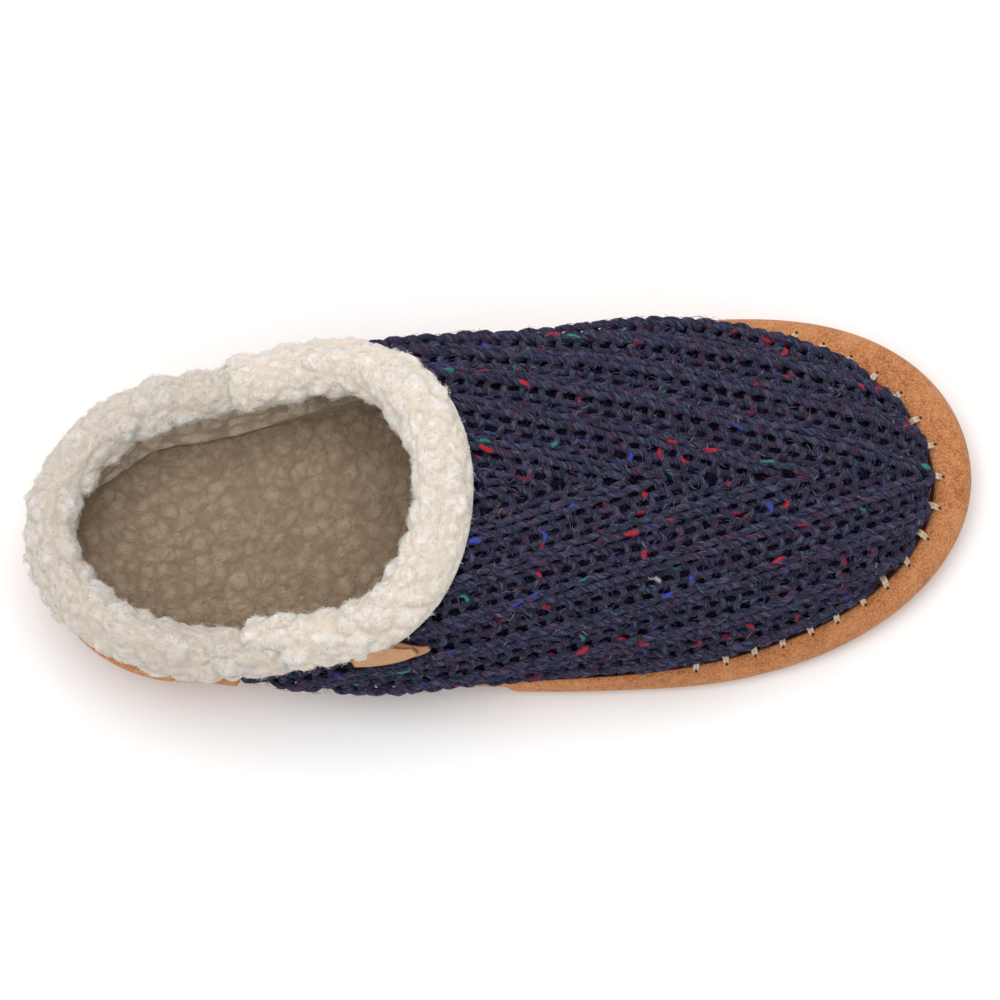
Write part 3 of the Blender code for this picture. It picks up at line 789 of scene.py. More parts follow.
class SherpaSettings(bpy.types.PropertyGroup):
    """Sherpa of the cuffs and fleece inside the shoe."""
    clump: length("Clump", "Size of the large clumps", 0.0085)
    curl: length("Curl", "Size of the small curls", 0.0038)
    clump_height: length("Clump height", "Height of the large clumps", 0.0020)
    curl_height: length("Curl height", "Height of the small curls", 0.0005)
    fibre: length("Fibre", "Thickness of the sherpa's fibres", 0.00012)
    fibre_length: length("Fibre length", "Length of the sherpa's fibres", 0.0018)
    front_fibres: number("Front fibres", "Fibres on the front cuff", 8000)
    heel_fibres: number("Heel fibres", "Fibres on the heel cuff", 5000)
    fleece_curl: length("Fleece curl", "Size of the lumps of the footbed and lining", 0.0050)
    footbed_curl: length("Footbed curl", "Size of the small curls of the footbed", 0.0046)
    fleece_height: length("Fleece height", "Height of the lumps of the footbed and lining", 0.0007)
    cream: colour("Cream", "Tips of the sherpa", (242, 238, 234))
    # Painted shade: colour of the clefts between the curls, where shade falls
    cleft: colour("Cleft", "Roots of the sherpa, between the curls", (220, 206, 188))
    ochre: colour("Ochre", "Faint warm patches in the sherpa", (230, 220, 204))
    fleece: colour("Fleece", "Tips of the footbed's fleece", (184, 162, 136))
    # Painted shade: colour of the footbed's clefts and shaded edge, also of its fibre flecks and stained
    # patches
    fleece_root_and_shade: colour("Fleece root", "Roots of the footbed's fleece", (156, 134, 109))
    lining: colour("Lining", "Tips of the lining's fleece", (226, 210, 188))
    # Painted shade: colour of the lining's clefts and shaded bottom, also of its fibre flecks
    lining_root_and_shade: colour("Lining root", "Roots of the lining's fleece", (164, 142, 118))


class SuedeSettings(bpy.types.PropertyGroup):
    """Suede of the sole and the heel counter."""
    tan: colour("Tan", "Main colour of the suede", (198, 131, 84))
    pale: colour("Pale", "Brushed nap of the suede", (216, 154, 106))
    dark: colour("Dark", "Pressed nap of the suede", (152, 93, 54))
    # Painted shadow: dark colour of the suede under the knit's edge
    seam: colour("Seam", "Shade under the knit's edge", (70, 40, 26))
    seam_width: length("Seam width", "Width of that shade from the feather line", 0.0016)
    counter: length("Counter", "Thickness of the heel counter", 0.0014)
    flange_step: length("Flange step", "Step where the flange starts on the outer side", 0.0013)


class StitchSettings(bpy.types.PropertyGroup):
    """Whip stitches round the toe, and the leather tab."""
    spacing: length("Spacing", "Distance between whip stitches", 0.0085)
    reach: length("Reach", "Reach of a stitch out over the suede", 0.0033)
    thread: length("Thread", "Thickness of a pair of threads", 0.0017)
    thread_twist: length("Thread twist", "Length of one turn of the thread's plies", 0.0016)
    thread_colour: colour("Thread", "Colour of the thread", (236, 208, 176))
    # Painted shade: dark colour inside the stitch holes
    hole_colour: colour("Hole", "Colour inside the stitch holes", (92, 54, 32))
    outer_start: FloatProperty(name="Outer start", description="Place along the sole of the first stitch on "
                               "the outer side", default=0.690, subtype="FACTOR")
    inner_end: FloatProperty(name="Inner end", description="Place along the sole of the last stitch on the "
                             "inner side", default=0.805, subtype="FACTOR")
    tab_length: length("Tab length", "Length of the leather tab along the cuff", 0.0130)
    tab_drop: length("Tab drop", "How far the tab hangs below the cuff", 0.0034)
    tab_shift: length("Tab shift", "How far the under ply stands out towards the toe", 0.0020)
    tab_thickness: length("Tab thickness", "Thickness of one ply of the tab", 0.0011)
    pore: length("Pore", "Spacing of the leather's pores", 0.0006)
    leather: colour("Leather", "Face of the tab's leather", (198, 148, 104))
    leather_dark: colour("Leather edge", "Cut edges and pores of the leather", (132, 86, 52))


class StageSettings(bpy.types.PropertyGroup):
    """Camera, floor and lights."""
    azimuth: FloatProperty(name="Azimuth", description="Turn of the camera round the shoe",
                           default=radians(-3.65), subtype="ANGLE")
    elevation: FloatProperty(name="Elevation", description="Height of the camera over the horizon",
                             default=radians(80), subtype="ANGLE")
    distance: length("Distance", "Distance from the camera to the shoe", 1.25)
    target: FloatVectorProperty(name="Target", description="Point in the middle of the picture",
                                default=(-0.00075, 0.0017, 0.020), subtype="TRANSLATION")
    lens: FloatProperty(name="Lens", description="Focal length in millimetres", default=156.8)
    floor: colour("Floor", "Colour of the floor", (250, 250, 250))
    key_power: FloatProperty(name="Key", description="Power of the main light", default=13.0, unit="POWER")
    fill_power: FloatProperty(name="Fill", description="Power of the fill light", default=3.0, unit="POWER")
    sky: FloatProperty(name="Sky", description="Strength of the light from all round", default=0.62)


# Materials

def yarn_grain(finish, run, spiral, per_metre, per_turn):
    """Place in a grain that follows the twist: so many to a metre of yarn, and so many round it."""
    return finish.node("CombineXYZ", {0: finish.times(run, per_metre), 1: finish.times(spiral, per_turn)})


def yarn_finish(knit):
    """Heathered wool yarn: spiral plies, dull strands of several colours, and a few bright flecks."""
    finish = Finish("navy_tweed_yarn", Roughness=0.95, Specular_IOR_Level=0.1, Sheen_Weight=0.10,
                    Sheen_Roughness=0.5, Sheen_Tint=(0.55, 0.56, 0.70, 1.0))
    run, turn = finish.attribute("yarn_length"), finish.attribute("yarn_turn")
    spiral = finish.plus(turn, finish.times(run, 1 / knit.twist))
    strand = yarn_grain(finish, run, spiral, per_metre=90.0, per_turn=2.6)
    hair = yarn_grain(finish, run, spiral, per_metre=500.0, per_turn=16.0)
    heather = finish.noise(size=2 / 3, detail=3.0, roughness=0.6, vector=strand)
    fibre = finish.noise(size=1.0, detail=3.0, roughness=0.7, vector=hair)
    tint = finish.noise(size=1.25, vector=strand, output="Color")
    hue = finish.node("SeparateColor", {0: tint}, 1)
    # Painted shade: the ink ends of these ramps stand for shade between the yarn's fibres, beside its real
    # dark heather
    base = finish.ramp(heather, (0.38, knit.ink_shade), (0.50, knit.navy), (0.66, knit.slate))
    dull = finish.ramp(hue, (0.36, knit.plum), (0.44, knit.navy), (0.55, knit.navy), (0.63, knit.deep_teal))
    base = finish.mix(0.5, base, dull)
    base = finish.mix(finish.ramp(fibre, (0.36, 0.75), (0.48, 0.0)), base, knit.ink_shade)
    base = finish.mix(finish.ramp(fibre, (0.52, 0.0), (0.66, 0.70)), base, knit.slate)
    fleck, shown = flecks(finish, knit, run, turn, fibre)
    finish.set("Base Color", finish.mix(shown, base, fleck))
    plies = finish.math("SINE", finish.times(spiral, PLIES * 2 * pi))
    relief = finish.bump(plies, depth=0.00022)
    finish.set("Normal", finish.bump(fibre, depth=0.0008, normal=relief))
    return finish.material


def flecks(finish, knit, run, turn, fibre):
    """Colour of the bright flecks, and where they show: ragged spots in a few of the yarn's short lengths."""
    place = finish.times(run, 1 / knit.fleck_length)
    cell = finish.math("FLOOR", place)
    draw, hue, spot = (
        finish.node("TexWhiteNoise", {"W": finish.plus(cell, shift)}, "Value", noise_dimensions="1D")
        for shift in (0.0, 0.37, 0.71))
    ahead = finish.math("SUBTRACT", finish.math("FRACT", place), 0.5)
    beside = finish.math("SUBTRACT", 0.5, finish.math("PINGPONG", finish.plus(turn, spot), 0.5))
    shortened, narrowed = finish.times(ahead, 1.3), finish.times(beside, 5.0)
    apart = finish.plus(finish.times(shortened, shortened), finish.times(narrowed, narrowed))
    ragged = finish.plus(apart, finish.times(fibre, 1.4))
    shown = finish.times(finish.ramp(ragged, (0.0, 1.0), (0.95, 1.0), (1.0, 0.0)),
                         finish.math("LESS_THAN", draw, knit.fleck_share))
    colours = finish.ramp(hue, (0.0, knit.red), (0.50, knit.teal), (0.66, knit.blue), (0.86, knit.maroon),
                          (0.97, knit.pale))
    colours.node.color_ramp.interpolation = "CONSTANT"
    return colours, shown


def hair_finish(knit):
    """Loose wool hairs: many pale, others as dark as the yarn, a few bright."""
    finish = Finish("loose_hairs", Roughness=0.9, Specular_IOR_Level=0.1)
    colours = finish.ramp(
        finish.attribute("fibre_tone"), (0.0, knit.navy), (0.25, knit.slate), (0.64, knit.plum),
        (0.76, knit.deep_teal), (0.87, knit.blue), (0.92, knit.pale), (0.96, knit.maroon))
    colours.node.color_ramp.interpolation = "CONSTANT"
    shade = finish.times(finish.noise(size=0.002), 0.4)
    finish.set("Base Color", finish.mix(shade, colours, knit.ink_shade))
    return finish.material


def pile_finish(name, cream, ochre):
    """Fine fibres of the sherpa, in paler and warmer patches."""
    finish = Finish(name, Roughness=1.0, Specular_IOR_Level=0.1, Sheen_Weight=0.3, Sheen_Roughness=0.5)
    tone = finish.plus(finish.times(finish.attribute("fibre_tone"), 0.2), finish.noise(size=0.006))
    finish.set("Base Color", finish.ramp(tone, (0.46, ochre), (0.62, cream)))
    return finish.material


def backing_finish(knit):
    """Dark felted wool seen through the gaps of the knit, near black as painted shade."""
    finish = Finish("navy_backing", Roughness=1.0, Specular_IOR_Level=0.0)
    fuzz = finish.noise(size=0.0009, detail=3.0, roughness=0.7)
    # Painted shade: the backing runs from ink to navy, standing for the shade deep in the gaps
    finish.set("Base Color", finish.ramp(fuzz, (0.45, knit.ink_shade), (0.85, knit.navy)))
    finish.set("Normal", finish.bump(fuzz, depth=0.0006))
    return finish.material


def curl_clefts(finish, curl):
    """Distance from the clefts between small curls of fleece, in curl sizes."""
    swirl = finish.noise(size=curl, output="Color")
    shift = finish.node("VectorMath", {0: swirl, "Scale": 0.9 * curl}, operation="SCALE")
    place = finish.node("VectorMath", {0: finish.place, 1: shift}, operation="ADD")
    cells = {"Vector": place, "Scale": 1 / curl}
    return finish.node("TexVoronoi", cells, "Distance", feature="DISTANCE_TO_EDGE")


def fleece_finish(name, tip, root, stain, rough=1.0, curl=0.0):
    """Curly pile with painted shade in its clefts, where it takes its root colour, with faint stained patches
    and, where a curl size is given, painted shade in the clefts between small curls.
    """
    finish = Finish(name, Roughness=1.0, Specular_IOR_Level=0.1, Sheen_Weight=0.25, Sheen_Roughness=0.5,
                    Subsurface_Weight=0.5, Subsurface_Scale=0.004)
    fibre = finish.noise(size=0.0006, detail=3.0, roughness=0.7)
    wisps = finish.noise(size=0.0024, detail=4.0, roughness=0.65)
    patches = finish.noise(size=0.0075, detail=3.0, roughness=0.6)
    # Painted shade: where open_air is low, in the clefts, the pile takes the root colour
    depth = finish.plus(finish.times(finish.attribute("open_air"), 0.75), finish.times(wisps, 0.40))
    base = finish.ramp(depth, (0.20, root), (0.80, tip))
    base = finish.mix(finish.ramp(patches, (0.50, 0.0), (0.72, 0.5)), base, stain)
    base = finish.mix(finish.ramp(fibre, (0.32, 0.55 * rough), (0.58, 0.0)), base, root)
    relief = finish.bump(wisps, depth=0.0010 * rough)
    if curl:
        cleft = curl_clefts(finish, curl)
        # Painted shade in the clefts between the small curls
        base = finish.mix(finish.ramp(cleft, (0.0, 0.34), (0.20, 0.0)), base, shaded(root, 0.5))
        relief = finish.bump(finish.ramp(cleft, (0.0, 0.0), (0.40, 1.0)), depth=0.0004, normal=relief)
    finish.set("Base Color", base)
    finish.set("Normal", finish.bump(fibre, depth=0.0006 * rough, normal=relief))
    return finish.material


def suede_finish(suede):
    """Napped suede: mottled tan with a fine pebbled nap."""
    finish = Finish("tan_suede", Roughness=0.95, Specular_IOR_Level=0.15, Sheen_Weight=0.2,
                    Sheen_Roughness=0.4, Sheen_Tint=(1.0, 0.78, 0.58, 1.0))
    brushed = finish.noise(size=0.0140, detail=3.0, roughness=0.6)
    mottle = finish.noise(size=0.0030, detail=3.0, roughness=0.6)
    nap = finish.noise(size=0.00060, roughness=0.6)
    tone = finish.plus(finish.times(brushed, 0.25), finish.times(mottle, 0.20))
    tone = finish.plus(tone, finish.times(nap, 0.55))
    base = finish.ramp(tone, (0.38, suede.dark), (0.50, suede.tan), (0.62, suede.pale))
    # Painted shadow under the knit's edge, where seam_shade is high
    finish.set("Base Color", finish.mix(finish.attribute("seam_shade"), base, suede.seam))
    relief = finish.bump(mottle, depth=0.0003)
    finish.set("Normal", finish.bump(nap, depth=0.0006, normal=relief))
    return finish.material


def thread_finish(stitch):
    """Waxed twisted thread."""
    finish = Finish("cream_thread", Roughness=0.7, Sheen_Weight=0.2)
    along_it = finish.times(finish.attribute("thread_length"), 2 * pi / stitch.thread_twist)
    round_it = finish.times(finish.attribute("thread_turn"), PLIES * 2 * pi)
    plies = finish.math("SINE", finish.plus(along_it, round_it))
    pale = stitch.thread_colour
    # Painted shade: the thread darkens in the grooves between its plies
    tone = finish.plus(finish.times(plies, 0.5), 0.5)
    finish.set("Base Color", finish.ramp(tone, (0.0, shaded(pale, 0.72)), (0.55, pale)))
    finish.set("Normal", finish.bump(plies, depth=0.0002))
    return finish.material


def hole_finish(stitch):
    """Dark pressed suede and painted shade inside a stitch hole."""
    finish = Finish("stitch_hole", Roughness=1.0)
    nap = finish.noise(size=0.0005)
    dark = stitch.hole_colour
    finish.set("Base Color", finish.ramp(nap, (0.3, shaded(dark, 0.5)), (0.7, dark)))
    finish.set("Normal", finish.bump(nap, depth=0.0002))
    return finish.material


def leather_finish(stitch):
    """Vegetable-tanned leather with pores, darker along its cut edges and, as painted shade, over the whole
    under ply.
    """
    finish = Finish("tab_leather", Roughness=0.62, Coat_Weight=0.08, Coat_Roughness=0.4)
    cloud = finish.noise(size=0.0035, detail=4.0, roughness=0.65)
    pores = finish.node("TexVoronoi", {"Vector": finish.place, "Scale": 1 / stitch.pore}, "Distance")
    base = finish.ramp(cloud, (0.30, shaded(stitch.leather, 0.8)), (0.65, stitch.leather))
    base = finish.mix(finish.ramp(pores, (0.05, 0.5), (0.25, 0.0)), base, stitch.leather_dark)
    # Cut edges are darker, and the under ply gets painted shade
    finish.set("Base Color", finish.mix(finish.attribute("cut_edge"), base, stitch.leather_dark))
    finish.set("Normal", finish.bump(pores, depth=0.0001))
    return finish.material


def floor_finish(stage):
    """Matt pale paper."""
    finish = Finish("studio_floor", Roughness=1.0)
    tooth = finish.noise(size=0.002)
    finish.set("Base Color", finish.ramp(tooth, (0.2, shaded(stage.floor, 0.985)), (0.8, stage.floor)))
    return finish.material


# Flat chart of the knit

class KnitChart:
    """One side of the upper laid flat, with the distance along the crown line and to the side of it."""

    TUCK = 0.0020
    CROWN_STEPS = 200
    ON_CHART = 0.00005

    def __init__(self, sign):
        last = the_last()
        columns = last.half(sign)
        wall, normals = last.wall[columns], last.normals[columns]
        below = wall[:, :1] - unit(wall[:, 1:2] - wall[:, :1]) * self.TUCK
        wall = np.concatenate([below, wall], axis=1)
        self.normals = np.concatenate([normals[:, :1], normals], axis=1).reshape(-1, 3)
        out = np.concatenate([last.from_crown[columns][:, :1] + self.TUCK, last.from_crown[columns]], axis=1)
        x = np.linspace(last.seam_x, last.toe_x, self.CROWN_STEPS)
        crown = np.stack([x, section_value("crown", x) * INSTEP_HEIGHT], axis=1)
        along_crown = np.interp(last.at[columns], x, arc_lengths(crown) + last.seam_x)
        turn = last.turn[columns][:, None]
        toe = last.at[columns][:, None] >= last.toe_x - WELD
        lengthwise = along_crown[:, None] + np.where(toe, out * np.cos(turn), 0.0)
        sideways = np.where(toe, out * abs(np.sin(turn)), out)
        self.flat = np.stack([lengthwise, sideways], axis=-1).reshape(-1, 2)
        self.points = wall.reshape(-1, 3)
        rows = wall.shape[1]
        corners = []
        for k in range(len(columns) - 1):
            for j in range(rows - 1):
                a, b = k * rows + j, (k + 1) * rows + j
                corners += [(a, b, b + 1), (a, b + 1, a + 1)]
        self.corners = np.array(corners)
        one, two, three = (self.flat[self.corners[:, k]] for k in range(3))
        self.corners = self.corners[abs(cross(two - one, three - one)) > TINY]
        flat = np.column_stack([self.flat, np.zeros(len(self.flat))])
        self.tree = BVHTree.FromPolygons(flat.tolist(), self.corners.tolist())
        self.low, self.high = self.flat.min(axis=0), self.flat.max(axis=0)

    def lift(self, flat, depth):
        """World points over flat places at depths off the last, their normals, and which are on it."""
        found = [self.tree.find_nearest((x, y, 0.0)) for x, y in flat]
        inside = np.array([hit[3] for hit in found]) < self.ON_CHART
        corners = self.corners[[hit[2] for hit in found]]
        one, two, three = (self.flat[corners[:, k]] for k in range(3))
        spot = np.array([hit[0][:2] for hit in found])
        edge_a, edge_b, gap = two - one, three - one, spot - one
        area = cross(edge_a, edge_b)
        share_b, share_c = cross(gap, edge_b) / area, cross(edge_a, gap) / area
        shares = np.stack([1 - share_b - share_c, share_b, share_c], axis=1)[..., None]
        normals = unit((self.normals[corners] * shares).sum(axis=1))
        return (self.points[corners] * shares).sum(axis=1) + normals * depth[:, None], normals, inside


# Operators

class SLIPPER_OT_knit(bpy.types.Operator):
    """Knit the upper: a dark backing shell, and ribs of yarn loops that meet in chevrons on the crown line"""
    bl_idname = "slipper.knit"
    bl_label = "Knit Upper"

    STEPS = 18
    SIDES = 8
    BACKING = 0.0008
    BACKING_DEPTH = 0.0007
    BACKING_STEP = 4
    RAISED_LEAN = 0.17
    SUNKEN_LEAN = 0.12
    WANDER = 0.00022
    WANDER_STEPS = 7
    SHORTEST = 4
    SWELL = 0.11
    SWELL_LIMIT = 1.6
    SPOOL = 50
    HAIR_ROOT = 0.4
    HAIRS = dict(spread=(0.45, 1.25), lean=0.06, lift=0.06, curl=0.10)

    def execute(self, context):
        knit = context.scene.slipper_knit
        self.make_backing(knit)
        yarn, hair = yarn_finish(knit), hair_finish(knit)
        for side, sign in (("outer", -1), ("inner", 1)):
            mesh = bmesh.new()
            self.rng = np.random.default_rng(11 + sign)
            self.laid = []
            self.knit_side(mesh, knit, KnitChart(sign))
            make_piece(f"upper_knit_{side}", mesh, yarn)
            self.tease_hairs(f"upper_hairs_{side}", knit, hair)
        return {"FINISHED"}

    def tease_hairs(self, name, knit, material):
        """Fine hairs that stand off the yarn."""
        roots, normals = (np.concatenate(parts) for parts in zip(*self.laid))
        chosen = self.rng.integers(0, len(roots), knit.hairs)
        normals = normals[chosen]
        roots = roots[chosen] + self.HAIR_ROOT * knit.yarn * normals
        headings = self.rng.normal(0, 1, roots.shape)
        tease_fibres(name, roots, normals, headings, self.rng, material, "knit",
                     width=knit.hair, length=knit.hair_length, **self.HAIRS)

    def make_backing(self, knit):
        """Shell under the yarn, which holds the shape of the last."""
        last = the_last()
        wall, normals = last.wall[:, ::self.BACKING_STEP], last.normals[:, ::self.BACKING_STEP]
        outer = wall - normals * (knit.cloth_depth + self.BACKING_DEPTH)
        mesh = bmesh.new()
        add_shell(mesh, outer, outer - normals * self.BACKING)
        make_piece("upper_backing", mesh, backing_finish(knit), ["upper"])

    def knit_side(self, mesh, knit, chart):
        """Every course of yarn on one side of the crown line."""
        lean = atan(knit.slope)
        corners = np.array([(x, y) for x in (chart.low[0], chart.high[0]) for y in (0.0, chart.high[1])])
        course_at = corners[:, 0] * cos(lean) - corners[:, 1] * sin(lean)
        column_at = corners[:, 1] * cos(lean) + corners[:, 0] * sin(lean)
        column_at, course_at = column_at / knit.pair_pitch, course_at / knit.course
        pairs = np.arange(np.floor(column_at.min()) - 1, column_at.max() + 1)
        for course in np.arange(np.floor(course_at.min()), course_at.max() + 1):
            path = self.course_path(knit, course * knit.course, pairs)
            flat = np.stack([path[:, 0] * cos(lean) + path[:, 1] * sin(lean),
                             path[:, 1] * cos(lean) - path[:, 0] * sin(lean)], axis=1)
            self.lay_yarn(mesh, knit, chart, flat, path[:, 2])

    def course_path(self, knit, course, pairs):
        """Yarn of one course as (along the ribs, across them, depth): a raised and a sunken loop a pair."""
        half_height = (knit.course + knit.overlap) / 2
        turn = np.linspace(0, 2 * pi, self.STEPS, endpoint=False)
        sunken_width = knit.pair_pitch - knit.raised_width
        steps = []
        for pair in pairs:
            start = pair * knit.pair_pitch - knit.raised_width / 2
            for width, depth, lean in ((knit.raised_width, knit.raised_depth, self.RAISED_LEAN),
                                       (sunken_width, -knit.sunken_depth, self.SUNKEN_LEAN)):
                steps.append(np.stack([
                    course - half_height * np.cos(turn),
                    start + width * turn / (2 * pi) + lean * width * np.sin(2 * turn),
                    depth * (1 - np.cos(2 * turn)) - knit.cloth_depth], axis=1))
                start += width
        path = np.concatenate(steps)
        knots = np.arange(0, len(path) + self.WANDER_STEPS, self.WANDER_STEPS)
        path += interpolate(np.arange(len(path)), knots, self.rng.normal(0, self.WANDER, (len(knots), 3)))
        return path

    def lay_yarn(self, mesh, knit, chart, flat, depth):
        """Tubes along the stretches of a course that lie on the chart."""
        crossing = np.nonzero(np.diff(np.sign(flat[:, 1])) > 0)[0]
        if len(crossing):
            k = crossing[-1]
            share = flat[k, 1] / (flat[k, 1] - flat[k + 1, 1])
            flat[k] += share * (flat[k + 1] - flat[k])
            depth[k] += share * (depth[k + 1] - depth[k])
            flat, depth = flat[k:], depth[k:]
        points, normals, inside = chart.lift(flat, depth)
        edges = np.flatnonzero(np.diff(np.concatenate([[0], inside.astype(int), [0]])))
        for start, end in edges.reshape(-1, 2):
            if end - start < self.SHORTEST:
                continue
            path = points[start:end]
            run = arc_lengths(path)
            swell = self.rng.normal(0, 1, len(path)).clip(-self.SWELL_LIMIT, self.SWELL_LIMIT)
            thick = 1 + self.SWELL * swell
            rings = tube(path, normals[start:end], knit.yarn / 2 * thick, self.SIDES)
            self.laid.append((path, normals[start:end]))
            run = np.concatenate([run[:1], run, run[-1:]]) + self.rng.uniform(0, self.SPOOL)
            turn = np.linspace(0, 1, self.SIDES + 1)
            add_sheet(mesh, rings, yarn_length=run[:, None], yarn_turn=turn[None])


class SLIPPER_OT_cuffs(bpy.types.Operator):
    """Roll the sherpa over the collar: the front cuff, and the lower heel cuff that runs in under its ends"""
    bl_idname = "slipper.cuffs"
    bl_label = "Sherpa Cuffs"

    ROLL_POINTS = 104
    STATION = 0.00058
    DOME_RINGS = 10
    DOME = 0.0050
    FRONT_START = 0.0056
    HEEL_END = 0.0110
    TUCK = 0.52
    TUCK_LENGTH = 0.0240
    INNER_TUCK = 0.35
    FREE_POINTS = 8
    # Painted shade: share by which the heel cuff's colours are darkened against the front cuff's
    HEEL_SHADE = 0.82
    ROUGH = 0.5
    SOFTNESS = 1.0
    WARP_SIZE = 0.0035
    CLUMP_WARP = 0.0012
    CURL_WARP = 0.0007
    CLUMP_LEVEL = 0.6
    CURL_LEVEL = 0.5
    WISP_SIZES = (0.0016, 0.0009)
    FINE_WISP = 0.6
    WISP_HEIGHT = 0.00006
    PILE_AIR = 0.30
    COMBED = 0.7
    TUFTED = 1.6
    LOOSE = 0.30
    PILE = dict(spread=(0.5, 1.2), lean=0.22, lift=0.10, curl=0.34)

    def execute(self, context):
        sherpa = context.scene.slipper_sherpa
        seam_x = the_last().seam_x
        for name, sizes, behind, joint, tuck, shade, count in (
                ("front_cuff", FRONT_CUFF, False, seam_x + self.FRONT_START, 0.0, 1.0, sherpa.front_fibres),
                ("heel_cuff", HEEL_CUFF, True, seam_x + self.HEEL_END, self.TUCK, self.HEEL_SHADE,
                 sherpa.heel_fibres)):
            # Painted shade: the heel cuff gets a darker copy of the sherpa's colours, as if less lit
            cream, cleft, ochre = (shaded(tone, shade) for tone in (sherpa.cream, sherpa.cleft, sherpa.ochre))
            mesh = bmesh.new()
            points, free = self.roll(sizes, CollarPath(behind, joint), tuck)
            relief, open_air = self.curls(sherpa, points)
            points = points + sheet_normals(points) * (relief * free)[..., None]
            points[[0, -1]] = points[[0, -1]].mean(axis=1, keepdims=True)
            # open_air marks the clefts, which the material paints darker as shade
            add_sheet(mesh, around(points), open_air=around(open_air))
            weld(mesh)
            base = fleece_finish(name + "_cream", cream, cleft, ochre, self.ROUGH)
            make_piece(name + "_sherpa", mesh, base, [name])
            pile = pile_finish(name + "_fibres", cream, ochre)
            self.tease_pile(name + "_pile", sherpa, points, free * open_air, count, pile)
        return {"FINISHED"}

    def tease_pile(self, name, sherpa, points, open_air, count, material):
        """Fine curly fibres that stand off a cuff in tufts."""
        rng = np.random.default_rng(count)
        normals = sheet_normals(points)
        weight = np.where(open_air > self.PILE_AIR, 1.0, 0.0)
        weight[[0, -1]] = 0.0
        spread = np.linalg.norm(np.gradient(points, axis=0), axis=-1)
        weight = (weight * spread).ravel()
        chosen = rng.choice(weight.size, count, replace=False, p=weight / weight.sum())
        roots, normals = points.reshape(-1, 3)[chosen], normals.reshape(-1, 3)[chosen]
        tufts = drift(roots, sherpa.clump, TUFT_SHIFTS)
        combed = unit(np.gradient(points, axis=1)).reshape(-1, 3)[chosen]
        headings = self.COMBED * combed + self.TUFTED * tufts + self.LOOSE * rng.normal(0, 1, roots.shape)
        tease_fibres(name, roots - GAP / 2 * normals, normals, headings, rng, material, "sherpa",
                     width=sherpa.fibre, length=sherpa.fibre_length, **self.PILE)

    def section(self, sizes):
        """Closed section of a cuff as (out from the wall, up from the edge, how free of the slot)."""
        outside, inside, rise, drop, lining, _ = sizes
        half_width, half_height = (outside + WALL + inside) / 2, (rise + drop) / 2
        middle = (outside - half_width, rise - half_height)
        mouths = np.clip((np.array([lining, -WALL - GAP]) - middle[0]) / half_width, -1, 1)
        turns = -np.arccos(signed_power(mouths, CUFF_ROUNDNESS / 2))
        turn = np.linspace(turns[0], turns[1] + 2 * pi, self.ROLL_POINTS)
        out = middle[0] + half_width * signed_power(np.cos(turn), 2 / CUFF_ROUNDNESS)
        up = middle[1] + half_height * signed_power(np.sin(turn), 2 / CUFF_ROUNDNESS)
        free = smooth_step(from_ends(self.ROLL_POINTS), 0, self.FREE_POINTS)
        lengths = arc_lengths(np.stack([out, up], axis=1))
        even = np.linspace(0, lengths[-1], self.ROLL_POINTS)
        roll = interpolate(even, lengths, np.stack([out, up, free], axis=1))
        slot = [(-WALL - GAP, -drop / 2, 0), (-WALL - GAP, GAP, 0), (lining, GAP, 0), (lining, -drop / 2, 0)]
        return np.vstack([roll, slot])

    def roll(self, sizes, collar, tuck):
        """Points of a cuff [station, round the section] with domed ends, and how free each is to curl."""
        section = self.section(sizes)
        lining, trim = sizes[CUFF_COLUMNS.index("lining"):]
        places = np.linspace(0, collar.lengths[-1], int(collar.lengths[-1] / self.STATION))
        frames = list(zip(*collar.frames(places)))
        near_end = 1 - smooth_step(np.minimum(places, places[-1] - places), 0, self.TUCK_LENGTH)
        rings = []
        for station, lower in zip(frames, 1 - tuck * near_end):
            side = outer_share(station[1])
            inward = 1 - (1 - lower) * (self.INNER_TUCK + (1 - self.INNER_TUCK) * side)
            ring = []
            for out, up, _ in section:
                reach = min(out, 0.0) * inward + max(out, 0.0) - trim * side * max(out - lining, 0.0)
                ring.append(collar.point(station, reach, min(up, 0.0) + max(up, 0.0) * lower))
            rings.append(ring)
        rings = np.array(rings)[:, ::-1]
        bends = np.linspace(0, pi / 2, self.DOME_RINGS)[1:, None, None]
        domes = []
        for ring, (_, _, tangent, _), ahead in ((rings[0], frames[0], -1), (rings[-1], frames[-1], 1)):
            middle = ring.mean(axis=0)
            beyond = ahead * tangent * self.DOME * np.sin(bends)
            domes.append(middle + (ring - middle) * np.cos(bends) + beyond)
        rings = np.concatenate([domes[0][::-1], rings, domes[1]])
        return rings, np.broadcast_to(section[::-1, 2], rings.shape[:2])

    def curls(self, sherpa, points):
        """Relief of clumps, curls and wisps over a cuff, and how far each point lies out of the clefts."""
        warp = drift(points, self.WARP_SIZE)
        clump, clump_air = curl_relief(points + self.CLUMP_WARP * warp, sherpa.clump, self.SOFTNESS)
        curl, curl_air = curl_relief(points + self.CURL_WARP * warp, sherpa.curl, self.SOFTNESS)
        coarse, fine = (soft_noise(points, size) for size in self.WISP_SIZES)
        relief = sherpa.clump_height * (clump - self.CLUMP_LEVEL)
        relief += sherpa.curl_height * (curl - self.CURL_LEVEL)
        relief += self.WISP_HEIGHT * (coarse + self.FINE_WISP * fine)
        return relief, (clump_air + curl_air) / 2


